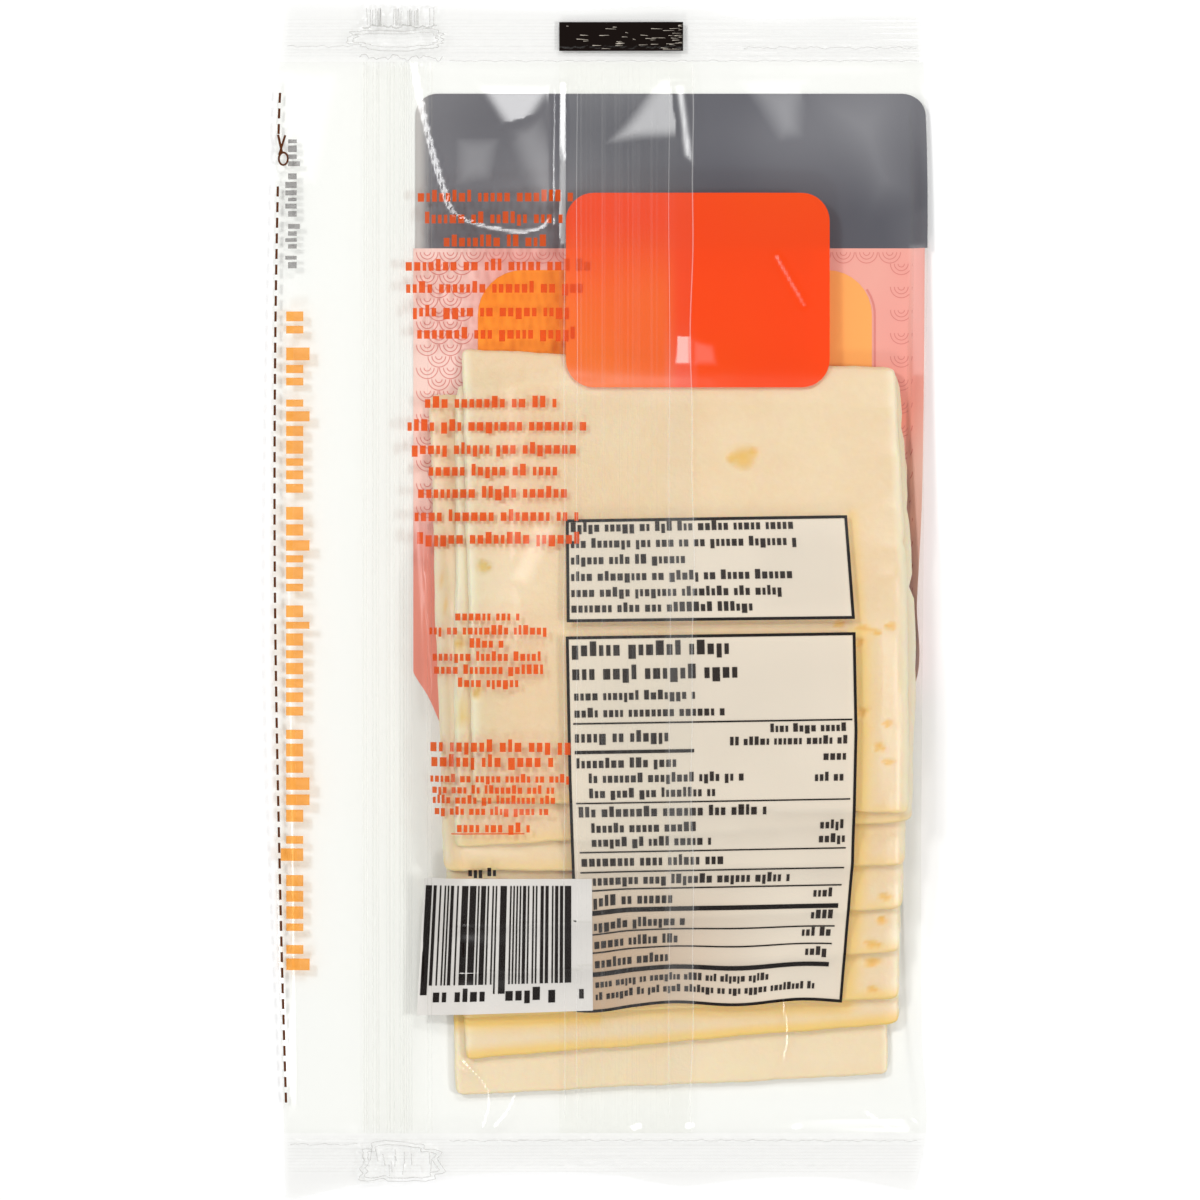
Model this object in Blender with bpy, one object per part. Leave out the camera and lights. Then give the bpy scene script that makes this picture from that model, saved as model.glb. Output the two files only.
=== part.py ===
"""A sealed clear pouch of shingled cheese slices, lying on its front panel with its back up.

The pouch is one closed solid, filled out to the form of its film: crimped seals at both ends,
two folded sides, a lapped seam down the back, and a stack of thin square slices that shows in
relief. A press-close zipper band lies along the left side in a groove of its own.
"""

import bmesh
import bpy
import numpy as np

MM = 0.001

# Sizes in millimetres: +X to the right of the back, +Y towards the top seal, +Z up.
PACK_LENGTH = 248.0
SEAL_LOW = -110.5
SEAL_HIGH = 111.7
SEAL_BLEND = 12.0
FILM = 0.3
RIM = 0.5
SEAL_HEIGHT = 0.9
SEAL_WAVE = 0.35
SEAL_WAVES = 3.0

# The folded sides, as (Y, X) points, and the cut ends, as (X, Y) points.
LEFT_FOLD = ((-124.0, -64.9), (-62.0, -66.6), (20.0, -67.8), (83.0, -67.2), (108.0, -66.5), (124.0, -64.7))
RIGHT_FOLD = ((-122.3, 65.6), (-110.7, 67.8), (-91.0, 67.0), (-60.0, 66.7), (22.0, 67.3), (108.0, 67.6),
              (121.9, 66.6))
BOTTOM_CUT = ((-64.9, -124.0), (-52.2, -121.3), (-33.0, -119.4), (3.0, -119.2), (17.5, -121.4),
              (30.0, -120.1), (53.0, -120.0), (65.6, -122.3))
TOP_CUT = ((-64.7, 124.0), (-35.0, 123.6), (-8.0, 122.7), (19.0, 123.2), (31.4, 121.0), (54.0, 122.0),
           (66.6, 121.8))

# The height of each folded side along Y: it is lifted where the stack is thick.
LEFT_LIFT = ((-124.0, 0.9), (-100.0, 1.0), (-20.0, 2.4), (60.0, 1.5), (124.0, 0.9))
RIGHT_LIFT = ((-124.0, 0.9), (-108.0, 1.2), (-60.0, 5.2), (-10.0, 6.2), (45.0, 3.2), (100.0, 1.2),
              (124.0, 0.9))

# Each slice is a plate with the corners top left, top right, bottom right and bottom left.
# Two of them bulge to the right, at a fifth corner. The lowest comes first.
SLICE_THICKNESS = 1.9
SLICES = (
    ((-32.1, -8.2), (58.4, -5.1), (60.0, -98.3), (-29.7, -102.5)),
    ((-30.4, -0.9), (61.9, 5.3), (62.2, -87.5), (-27.5, -95.1)),
    ((-30.9, 8.4), (63.3, 11.5), (62.3, -82.2), (-28.5, -86.5)),
    ((-31.7, 17.7), (64.0, 19.7), (62.2, -72.8), (-30.3, -77.3)),
    ((-32.9, 27.5), (64.0, 30.2), (62.8, -63.6), (-31.3, -67.6)),
    ((-35.2, 42.8), (62.5, 40.6), (63.3, -54.7), (-32.0, -55.9)),
    ((-29.6, 44.7), (62.2, 46.9), (65.3, -4.0), (64.7, -45.4), (-29.8, -50.9)),
    ((-28.5, 52.1), (61.5, 48.1), (63.7, -5.0), (63.8, -43.7), (-25.7, -41.4)),
)

# The zipper band, its height along Y, and its two rows of closing ribs.
ZIP_LEFT = -49.1
ZIP_RIGHT = -36.4
ZIP_LOW = -110.0
ZIP_HIGH = 111.0
ZIP_TOP = ((-124.0, 2.3), (-108.0, 2.6), (-60.0, 4.2), (-10.0, 5.4), (45.0, 4.0), (108.0, 2.6), (124.0, 2.3))
ZIP_FLANGE = 0.5
ZIP_RIB_HEIGHT = 0.9
ZIP_RIB_WIDTH = 1.3
ZIP_RIBS = (-44.9, -41.0)
ZIP_STATIONS = 26
ZIP_CRUSH = 0.7
CRUSH_MARGIN = 5.5

# The clearance between the band and the walls of its groove.
GAP = 0.3

# The lapped seam: the left back panel lies over the right one between these lines.
LAP_LEFT = -8.2
LAP_RIGHT = 19.4
LAP_STEP = 0.3

# The relaxed film: one cell of its grid, the lift by the gas inside at each step where the pouch
# is empty, the pull on to the cheese at each step elsewhere, and the number of steps.
CELL = 1.0
GAS_LIFT = 0.0018
CLING = 0.022
SLICE_RELAX_STEPS = 90
FILM_RELAX_STEPS = 2600

# Stations of the mesh across and along the pouch, and the number of faces up to each.
COLUMNS = ((-67.8, 0), (-49.5, 5), (-36.0, 4), (-25.0, 6), (-8.6, 4), (-7.8, 1), (19.0, 7), (19.8, 1),
           (56.0, 8), (67.8, 8))
ROWS = ((-124.0, 0), (-110.0, 3), (-103.5, 3), (-42.0, 30), (-8.0, 6), (54.0, 16), (110.0, 13), (124.0, 4))
UNDERSIDE_TUCK_X = 0.945
UNDERSIDE_TUCK_Y = 0.965


def clear_scene():
    for old in list(bpy.data.objects):
        bpy.data.objects.remove(old, do_unlink=True)


def smooth_curve(points, at):
    """Read a smooth curve through (position, value) points."""
    positions, values = np.array(points, dtype=float).T
    slopes = np.gradient(values, positions)
    index = np.clip(np.searchsorted(positions, at) - 1, 0, len(positions) - 2)
    span = positions[index + 1] - positions[index]
    t = np.clip((at - positions[index]) / span, 0.0, 1.0)
    start = values[index] * (1.0 + 2.0 * t) * (1.0 - t) ** 2
    end = values[index + 1] * t * t * (3.0 - 2.0 * t)
    bend = span * t * (1.0 - t) * (slopes[index] * (1.0 - t) - slopes[index + 1] * t)
    return start + end + bend


def stations(marks):
    """Spread stations evenly between the marked ones."""
    spread = [marks[0][0]]
    for (start, _), (end, count) in zip(marks, marks[1:]):
        spread.extend(np.linspace(start, end, count + 1)[1:])
    return np.array(spread)


def slice_mask(corners, x, y):
    """Say which points lie inside a slice, whose corners run clockwise."""
    inside = np.ones(x.shape, dtype=bool)
    for (ax, ay), (bx, by) in zip(corners, corners[1:] + corners[:1]):
        inside &= (bx - ax) * (y - ay) - (by - ay) * (x - ax) <= 0.0
    return inside


def neighbour_mean(height):
    padded = np.pad(height, 1, mode="edge")
    return (padded[:-2, 1:-1] + padded[2:, 1:-1] + padded[1:-1, :-2] + padded[1:-1, 2:]) / 4.0


def stack_slices(x, y):
    """Lay the slices on each other, each one sagging over the ends of those below it."""
    top = np.full(x.shape, FILM)
    for corners in SLICES:
        under = top.copy()
        for _ in range(SLICE_RELAX_STEPS):
            under = np.maximum(top, neighbour_mean(under))
        top = np.where(slice_mask(corners, x, y), under + SLICE_THICKNESS, top)
    return top


def smooth_step(value, low, high):
    t = np.clip((value - low) / (high - low), 0.0, 1.0)
    return t * t * (3.0 - 2.0 * t)


def rim_height(x, y):
    """The height of the film's edge, as a blend of both folded sides and the wavy end seals."""
    left = smooth_curve(LEFT_FOLD, y)
    right = smooth_curve(RIGHT_FOLD, y)
    across = np.clip((x - left) / (right - left), 0.0, 1.0)
    folded = (1.0 - across) * smooth_curve(LEFT_LIFT, y) + across * smooth_curve(RIGHT_LIFT, y)
    seal = smooth_step(y, SEAL_HIGH - SEAL_BLEND, SEAL_HIGH) + smooth_step(-y, -SEAL_LOW - SEAL_BLEND, -SEAL_LOW)
    waves = SEAL_WAVE * np.sin(across * SEAL_WAVES * np.pi + np.sign(y))
    return folded * (1.0 - seal) + (SEAL_HEIGHT + waves) * seal


def drape_film(x, y):
    """Relax the back film over the stack, held at its edges and along the zipper."""
    left = smooth_curve(LEFT_FOLD, y)
    right = smooth_curve(RIGHT_FOLD, y)
    free = (x > left) & (x < right) & (y > SEAL_LOW) & (y < SEAL_HIGH)
    zip_top = smooth_curve(ZIP_TOP, y)
    on_zip = (x > ZIP_LEFT) & (x < ZIP_RIGHT)
    held = rim_height(x, y) + RIM + ZIP_CRUSH * (on_zip & (np.abs(y) < PACK_LENGTH / 2.0 - CRUSH_MARGIN))
    cheese = stack_slices(x, y)
    floor = cheese + FILM
    pull = np.where(cheese > FILM, -CLING, GAS_LIFT)
    film = np.where(free, floor, held)
    for _ in range(FILM_RELAX_STEPS):
        relaxed = np.maximum(neighbour_mean(film) + pull, floor)
        relaxed = np.where(on_zip, np.minimum(relaxed, zip_top), relaxed)
        relaxed = np.where(on_zip, np.maximum(relaxed, zip_top - ZIP_FLANGE), relaxed)
        film = np.where(free, relaxed, held)
    return film


def height_reader():
    """Make a function that reads the relaxed film's height at any points."""
    reach_x = np.arange(-70.0, 70.0 + CELL, CELL)
    reach_y = np.arange(-126.0, 126.0 + CELL, CELL)
    x, y = np.meshgrid(reach_x, reach_y)
    film = drape_film(x, y)

    def read(px, py):
        column = np.clip((px - reach_x[0]) / CELL, 0.0, len(reach_x) - 1.001)
        row = np.clip((py - reach_y[0]) / CELL, 0.0, len(reach_y) - 1.001)
        i = column.astype(int)
        j = row.astype(int)
        s = column - i
        t = row - j
        near = film[j, i] * (1.0 - s) + film[j, i + 1] * s
        far = film[j + 1, i] * (1.0 - s) + film[j + 1, i + 1] * s
        return near * (1.0 - t) + far * t

    return read


def outline_grid():
    """Fit the mesh stations to the pouch's real outline."""
    columns = stations(COLUMNS)
    rows = stations(ROWS)
    u = (columns - columns[0]) / (columns[-1] - columns[0])
    v = (rows - rows[0]) / (rows[-1] - rows[0])
    across, along = np.meshgrid(u, v)
    x = np.broadcast_to(columns, across.shape)
    y = np.broadcast_to(rows[:, None], across.shape)
    bottom_shift = smooth_curve(BOTTOM_CUT, x) + PACK_LENGTH / 2.0
    top_shift = smooth_curve(TOP_CUT, x) - PACK_LENGTH / 2.0
    near_bottom = np.clip(1.0 - along * 6.0, 0.0, 1.0)
    near_top = np.clip(along * 6.0 - 5.0, 0.0, 1.0)
    fitted_y = y + bottom_shift * near_bottom + top_shift * near_top
    left_shift = smooth_curve(LEFT_FOLD, fitted_y) - columns[0]
    right_shift = smooth_curve(RIGHT_FOLD, fitted_y) - columns[-1]
    near_left = np.clip(1.0 - across * 7.0, 0.0, 1.0)
    near_right = np.clip(across * 7.0 - 6.0, 0.0, 1.0)
    fitted_x = x + left_shift * near_left + right_shift * near_right
    return fitted_x, fitted_y


def add_object(name, bm, colour, roughness):
    """Turn a bmesh in millimetres into an object with a material of its own."""
    bmesh.ops.scale(bm, vec=(MM, MM, MM), verts=bm.verts)
    bmesh.ops.recalc_face_normals(bm, faces=bm.faces)
    mesh = bpy.data.meshes.new(name)
    bm.to_mesh(mesh)
    bm.free()
    material = bpy.data.materials.new(name)
    material.use_nodes = True
    shader = material.node_tree.nodes["Principled BSDF"]
    shader.inputs["Base Color"].default_value = (*colour, 1.0)
    shader.inputs["Roughness"].default_value = roughness
    shader.inputs["Metallic"].default_value = 0.0
    mesh.materials.append(material)
    piece = bpy.data.objects.new(name, mesh)
    bpy.context.scene.collection.objects.link(piece)
    return piece


def make_pouch():
    """Build the filled pouch: a draped top, a thin rim and a flat underside."""
    x, y = outline_grid()
    read_height = height_reader()
    top_z = read_height(x, y)
    lap = (x > LAP_LEFT) & (x < LAP_RIGHT)
    top_z = top_z + LAP_STEP * lap
    rows, columns = x.shape
    bm = bmesh.new()
    top = [[bm.verts.new((x[j, i], y[j, i], top_z[j, i])) for i in range(columns)] for j in range(rows)]
    for j in range(rows - 1):
        for i in range(columns - 1):
            bm.faces.new((top[j][i], top[j][i + 1], top[j + 1][i + 1], top[j + 1][i]))

    border = [(0, i) for i in range(columns)]
    border += [(j, columns - 1) for j in range(1, rows)]
    border += [(rows - 1, i) for i in range(columns - 2, -1, -1)]
    border += [(j, 0) for j in range(rows - 2, 0, -1)]
    edge = [top[j][i] for j, i in border]
    rim = [bm.verts.new((v.co.x, v.co.y, v.co.z - RIM)) for v in edge]
    tuck = [bm.verts.new((v.co.x * UNDERSIDE_TUCK_X, v.co.y * UNDERSIDE_TUCK_Y, 0.0)) for v in edge]
    count = len(border)
    for k in range(count):
        after = (k + 1) % count
        bm.faces.new((edge[after], edge[k], rim[k], rim[after]))
        bm.faces.new((rim[after], rim[k], tuck[k], tuck[after]))
    bm.faces.new(tuck)
    return add_object("pouch", bm, (0.93, 0.86, 0.68), 0.25)


def zipper_profile():
    """The band's cross-section as (X, height over its underside) points, left to right."""
    section = [(ZIP_LEFT, ZIP_FLANGE)]
    for rib in ZIP_RIBS:
        section.append((rib - ZIP_RIB_WIDTH, ZIP_FLANGE))
        section.append((rib - 0.5 * ZIP_RIB_WIDTH, ZIP_RIB_HEIGHT + ZIP_FLANGE))
        section.append((rib + 0.5 * ZIP_RIB_WIDTH, ZIP_RIB_HEIGHT + ZIP_FLANGE))
        section.append((rib + ZIP_RIB_WIDTH, ZIP_FLANGE))
    section.append((ZIP_RIGHT, ZIP_FLANGE))
    section.append((ZIP_RIGHT, 0.0))
    section.append((ZIP_LEFT, 0.0))
    return section


def sweep_along_y(section, base, low, high, count):
    """Sweep a closed (X, Z) section along Y, lifted to base(Y), and cap both ends."""
    bm = bmesh.new()
    loops = []
    for y in np.linspace(low, high, count):
        lift = float(base(y))
        loops.append([bm.verts.new((x, y, z + lift)) for x, z in section])
    for first, second in zip(loops, loops[1:]):
        for k in range(len(section)):
            after = (k + 1) % len(section)
            bm.faces.new((first[k], first[after], second[after], second[k]))
    bm.faces.new(loops[0])
    bm.faces.new(list(reversed(loops[-1])))
    return bm


def zipper_floor(y):
    """The height of the band's underside at Y."""
    return smooth_curve(ZIP_TOP, y) - ZIP_FLANGE - GAP


def make_zipper():
    bm = sweep_along_y(zipper_profile(), zipper_floor, ZIP_LOW, ZIP_HIGH, ZIP_STATIONS)
    return add_object("zipper_band", bm, (0.94, 0.93, 0.88), 0.35)


def cut_zipper_groove(pouch):
    """Cut the groove that the zipper band lies in, clear of it all round."""
    depth = 12.0
    section = [
        (ZIP_LEFT - GAP, depth),
        (ZIP_RIGHT + GAP, depth),
        (ZIP_RIGHT + GAP, -GAP),
        (ZIP_LEFT - GAP, -GAP),
    ]
    bm = sweep_along_y(section, zipper_floor, ZIP_LOW - GAP, ZIP_HIGH + GAP, ZIP_STATIONS)
    cutter = add_object("groove_cutter", bm, (0.5, 0.5, 0.5), 0.5)
    cutter.hide_render = True
    cutter.display_type = "WIRE"
    groove = pouch.modifiers.new("groove", "BOOLEAN")
    groove.operation = "DIFFERENCE"
    groove.object = cutter
    groove.solver = "EXACT"


def main():
    clear_scene()
    pouch = make_pouch()
    make_zipper()
    cut_zipper_groove(pouch)


main()
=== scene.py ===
import math
import random

import bpy
import numpy as np
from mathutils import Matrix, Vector


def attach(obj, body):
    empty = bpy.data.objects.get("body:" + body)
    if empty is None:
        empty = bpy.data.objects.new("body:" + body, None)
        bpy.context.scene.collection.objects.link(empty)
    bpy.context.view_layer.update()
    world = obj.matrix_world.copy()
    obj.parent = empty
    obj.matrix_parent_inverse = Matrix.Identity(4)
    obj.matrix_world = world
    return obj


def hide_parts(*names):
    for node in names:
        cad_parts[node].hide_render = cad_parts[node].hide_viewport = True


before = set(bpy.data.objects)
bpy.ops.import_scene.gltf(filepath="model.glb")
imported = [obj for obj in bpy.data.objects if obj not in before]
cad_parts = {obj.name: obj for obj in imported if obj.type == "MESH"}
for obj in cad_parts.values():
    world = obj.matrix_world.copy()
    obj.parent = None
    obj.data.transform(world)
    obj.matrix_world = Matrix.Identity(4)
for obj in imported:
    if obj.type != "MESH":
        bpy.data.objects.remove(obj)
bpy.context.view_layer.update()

# The modelling below works in millimetres, and each mesh is scaled to metres as it is made.
MM = 0.001

# The photograph: millimetres to a pixel, and its middle in the pack's own plane.
PHOTO_SIDE = 1200
PIXEL = 0.2075
PHOTO_X = 0.26
PHOTO_Y = 0.10
CAMERA_HEIGHT = 1600.0
SENSOR = 36.0

# The soft square lights: name, place and size in metres, power in watts.
LIGHTS = (
    ("key", (-0.55, 0.42, 1.0), 0.18, 4.0),
    ("top", (0.2, 0.85, 1.05), 0.18, 3.0),
    ("right", (0.75, -0.1, 0.95), 0.2, 4.0),
    ("bottom", (-0.3, -0.8, 0.8), 0.2, 2.2),
)
SKY = 0.44

# The pouch: +X to the right of its back, +Y towards the top seal, +Z up.
SEAL_LOW = -110.5
SEAL_HIGH = 111.7
SEAL_BLEND = 12.0
FILM = 0.3
RIM = 0.5
SEAL_HEIGHT = 0.9
SEAL_WAVE = 0.35
SEAL_WAVES = 3.0
LEFT_FOLD = ((-124.0, -64.9), (-62.0, -66.6), (20.0, -67.8), (83.0, -67.2), (108.0, -66.5),
             (124.0, -64.7))
RIGHT_FOLD = ((-122.3, 65.6), (-110.7, 67.8), (-91.0, 67.0), (-60.0, 66.7), (22.0, 67.3), (108.0, 67.6),
              (121.9, 66.6))
BOTTOM_CUT = ((-64.9, -124.0), (-52.2, -121.3), (-33.0, -119.4), (3.0, -119.2), (17.5, -121.4),
              (30.0, -120.1), (53.0, -120.0), (65.6, -122.3))
TOP_CUT = ((-64.7, 124.0), (-35.0, 123.6), (-8.0, 122.7), (19.0, 123.2), (31.4, 121.0), (54.0, 122.0),
           (66.6, 121.8))
LEFT_LIFT = ((-124.0, 0.9), (-100.0, 1.0), (-20.0, 2.4), (60.0, 1.5), (124.0, 0.9))
RIGHT_LIFT = ((-124.0, 0.9), (-108.0, 1.2), (-60.0, 5.2), (-10.0, 6.2), (45.0, 3.2), (100.0, 1.2),
              (124.0, 0.9))

# The slices, lowest first, with the corners top left, top right, bottom right and bottom left.
# Two of them bulge to the right, at a fifth corner.
SLICE_THICKNESS = 1.9
SLICES = (
    ((-32.1, -8.2), (58.4, -5.1), (60.0, -98.3), (-29.7, -102.5)),
    ((-30.4, -0.9), (61.9, 5.3), (62.2, -87.5), (-27.5, -95.1)),
    ((-30.9, 8.4), (63.3, 11.5), (62.3, -82.2), (-28.5, -86.5)),
    ((-31.7, 17.7), (64.0, 19.7), (62.2, -72.8), (-30.3, -77.3)),
    ((-32.9, 27.5), (64.0, 30.2), (62.8, -63.6), (-31.3, -67.6)),
    ((-35.2, 42.8), (62.5, 40.6), (63.3, -54.7), (-32.0, -55.9)),
    ((-29.6, 44.7), (62.2, 46.9), (65.3, -4.0), (64.7, -45.4), (-29.8, -50.9)),
    ((-28.5, 52.1), (61.5, 48.1), (63.7, -5.0), (63.8, -43.7), (-25.7, -41.4)),
)

# The two top slices are thin at the left: the first of them, their least share, and the width.
THIN_FROM = 6
THIN_LEAST = 0.45
THIN_WIDTH = 14.0

# The zipper band and its height along Y.
ZIP_LEFT = -49.1
ZIP_RIGHT = -36.4
ZIP_FLANGE = 0.5
ZIP_TOP = ((-124.0, 2.3), (-108.0, 2.6), (-60.0, 4.2), (-10.0, 5.4), (45.0, 4.0), (108.0, 2.6),
           (124.0, 2.3))

# The lapped seam, where the left back panel lies over the right one.
LAP_LEFT = -8.2
LAP_RIGHT = 19.4
LAP_RISE = 0.12

# The relaxed film: coarse and fine cells, the lift and the pull at each step, and the steps.
CELL = 1.0
FINE_CELL = 0.5
GAS_LIFT = 0.0018
CLING = 0.022
SLICE_RELAX_STEPS = 90
FILM_RELAX_STEPS = 2600
FINE_RELAX_STEPS = 160
REACH_X = 70.0
REACH_Y = 126.0

# How far the ink of a field and of a line lies below the film's own surface.
FIELD_DEPTH = 0.16
LAP_FIELD_DEPTH = 0.11
LINE_DEPTH = 0.02


def smooth_step(value, low, high):
    t = np.clip((value - low) / (high - low), 0.0, 1.0)
    return t * t * (3.0 - 2.0 * t)


def window(value, low, high, soft):
    """1 between low and high, falling to 0 within a soft width outside them."""
    return smooth_step(value, low - soft, low) * smooth_step(-value, -high - soft, -high)


def smooth_curve(points, at):
    """Read a smooth curve through (position, value) points."""
    positions, values = np.array(points, dtype=float).T
    slopes = np.gradient(values, positions)
    index = np.clip(np.searchsorted(positions, at) - 1, 0, len(positions) - 2)
    span = positions[index + 1] - positions[index]
    t = np.clip((at - positions[index]) / span, 0.0, 1.0)
    start = values[index] * (1.0 + 2.0 * t) * (1.0 - t) ** 2
    end = values[index + 1] * t * t * (3.0 - 2.0 * t)
    bend = span * t * (1.0 - t) * (slopes[index] * (1.0 - t) - slopes[index + 1] * t)
    return start + end + bend


def spaced(low, high, step):
    """Evenly spaced stations from low to high, about a step apart."""
    return np.linspace(low, high, max(2, int(math.ceil(abs(high - low) / step)) + 1))


# Fields of height over the pack

class Field:
    """Heights on a square grid over the pack, read between its points."""

    def __init__(self, cell):
        self.cell = cell
        self.x_line = np.arange(-REACH_X, REACH_X + cell, cell)
        self.y_line = np.arange(-REACH_Y, REACH_Y + cell, cell)
        self.x, self.y = np.meshgrid(self.x_line, self.y_line)
        self.height = np.zeros(self.x.shape)

    def like(self, height):
        made = Field(self.cell)
        made.height = height
        return made

    def at(self, x, y):
        x, y = np.broadcast_arrays(x, y)
        column = np.clip((x - self.x_line[0]) / self.cell, 0.0, len(self.x_line) - 1.001)
        row = np.clip((y - self.y_line[0]) / self.cell, 0.0, len(self.y_line) - 1.001)
        i = column.astype(int)
        j = row.astype(int)
        s = column - i
        t = row - j
        near = self.height[j, i] * (1.0 - s) + self.height[j, i + 1] * s
        far = self.height[j + 1, i] * (1.0 - s) + self.height[j + 1, i + 1] * s
        return near * (1.0 - t) + far * t


def neighbour_mean(height):
    padded = np.pad(height, 1, mode="edge")
    return (padded[:-2, 1:-1] + padded[2:, 1:-1] + padded[1:-1, :-2] + padded[1:-1, 2:]) / 4.0


def slice_mask(corners, x, y):
    """Say which points lie inside a slice, whose corners run clockwise."""
    inside = np.ones(x.shape, dtype=bool)
    for (ax, ay), (bx, by) in zip(corners, corners[1:] + corners[:1]):
        inside &= (bx - ax) * (y - ay) - (by - ay) * (x - ax) <= 0.0
    return inside


def slice_rise(number, x, y):
    """The thickness of a slice; the two top ones are pressed thin at the left."""
    if number < THIN_FROM:
        return SLICE_THICKNESS
    (ax, ay), (bx, by) = SLICES[number][0], SLICES[number][-1]
    left = ax + (bx - ax) * (y - ay) / (by - ay)
    return SLICE_THICKNESS * (THIN_LEAST + (1.0 - THIN_LEAST) * smooth_step(x - left, 0.0, THIN_WIDTH))


def stack_slices(grid):
    """Lay the slices on each other and return the surface that each one rests on."""
    top = np.full(grid.x.shape, FILM)
    rests = []
    for number, corners in enumerate(SLICES):
        under = top.copy()
        for _ in range(SLICE_RELAX_STEPS):
            under = np.maximum(top, neighbour_mean(under))
        rests.append(grid.like(under))
        top = np.where(slice_mask(corners, grid.x, grid.y), under + slice_rise(number, grid.x, grid.y), top)
    return rests


def cheese_height(rests, grid):
    """The top of the cheese over a grid, from the surfaces that the slices rest on."""
    top = np.full(grid.x.shape, FILM)
    for number, (corners, rest) in enumerate(zip(SLICES, rests)):
        on_slice = slice_mask(corners, grid.x, grid.y)
        rise = slice_rise(number, grid.x, grid.y)
        top = np.where(on_slice, np.maximum(top, rest.at(grid.x, grid.y) + rise), top)
    return top


def left_fold(y):
    return smooth_curve(LEFT_FOLD, y)


def right_fold(y):
    return smooth_curve(RIGHT_FOLD, y)


def between_lines(y, left, right, cell):
    """Points in rows at Y between two lines along Y, about a cell apart."""
    widest = float(np.max(right(y) - left(y)))
    s = spaced(0.0, 1.0, cell / widest)[None, :]
    x = left(y) + (right(y) - left(y)) * s
    return x, np.broadcast_to(y, x.shape)


def rim_height(x, y):
    """The height of the film's edge, as a blend of both folded sides and the wavy end seals."""
    left = left_fold(y)
    right = right_fold(y)
    across = np.clip((x - left) / (right - left), 0.0, 1.0)
    folded = (1.0 - across) * smooth_curve(LEFT_LIFT, y) + across * smooth_curve(RIGHT_LIFT, y)
    seal = smooth_step(y, SEAL_HIGH - SEAL_BLEND, SEAL_HIGH)
    seal = seal + smooth_step(-y, -SEAL_LOW - SEAL_BLEND, -SEAL_LOW)
    waves = SEAL_WAVE * np.sin(across * SEAL_WAVES * np.pi + np.sign(y))
    return folded * (1.0 - seal) + (SEAL_HEIGHT + waves) * seal + RIM


def relax_film(grid, start, cheese, steps):
    """Relax the back film over the cheese, held at its edges and along the zipper."""
    x, y = grid.x, grid.y
    free = (x > left_fold(y)) & (x < right_fold(y))
    free &= (y > SEAL_LOW) & (y < SEAL_HIGH)
    held = rim_height(x, y)
    floor = cheese + FILM
    scale = grid.cell ** 2
    pull = np.where(cheese > FILM, -CLING, GAS_LIFT) * scale
    zip_top = smooth_curve(ZIP_TOP, y)
    on_zip = (x > ZIP_LEFT) & (x < ZIP_RIGHT)
    film = np.where(free, np.maximum(start, floor), held)
    for _ in range(steps):
        relaxed = np.maximum(neighbour_mean(film) + pull, floor)
        relaxed = np.where(on_zip, np.clip(relaxed, zip_top - ZIP_FLANGE, zip_top), relaxed)
        film = np.where(free, relaxed, held)
    return grid.like(film)


# Lines in the film, as (X, Y) points
HOOK = ((-38.5, 112.2), (-37.1, 104.9), (-35.0, 95.6), (-32.9, 88.3), (-30.9, 82.1))
HOOK_END = ((-30.9, 82.1), (-28.8, 78.6), (-20.5, 76.5), (-14.3, 76.3), (-10.3, 78.1), (-9.4, 84.0))
SCRATCH = ((36.8, 71.1), (42.4, 61.3))
LEFT_CURL = ((-28.2, -95.3), (-24.2, -99.3), (-22.2, -102.8), (-24.0, -109.0))
SHORT_CURL = ((-17.4, -102.4), (-19.0, -106.1), (-21.7, -109.0))
RIGHT_CURL = ((38.0, -82.3), (39.3, -90.2), (38.2, -95.3))

# Creases, each a ridge along a line with its width and height.
CREASES = (
    (HOOK + HOOK_END[1:], 0.6, 0.4),
    (((-9.3, 106.0), (-9.3, 76.0)), 0.5, 0.3),
    (((-7.2, 106.0), (-7.2, 72.0)), 0.5, 0.3),
    (SCRATCH, 0.6, 0.15),
    (LEFT_CURL, 0.5, 0.1),
    (SHORT_CURL, 0.5, 0.1),
    (RIGHT_CURL, 0.5, 0.08),
    (((55.5, -106.5), (61.5, -110.5)), 0.6, 0.12),
    (((-10.8, 15.4), (-12.5, 9.5), (-17.0, 3.5)), 1.0, 0.12),
)
LINE_ROUNDING = 2

# Faint ripples over the whole film: how many, their pitches, and their height to a unit of pitch.
RIPPLES = 14
RIPPLE_PITCHES = (9.0, 26.0)
RIPPLE_HEIGHT = 0.002

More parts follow.
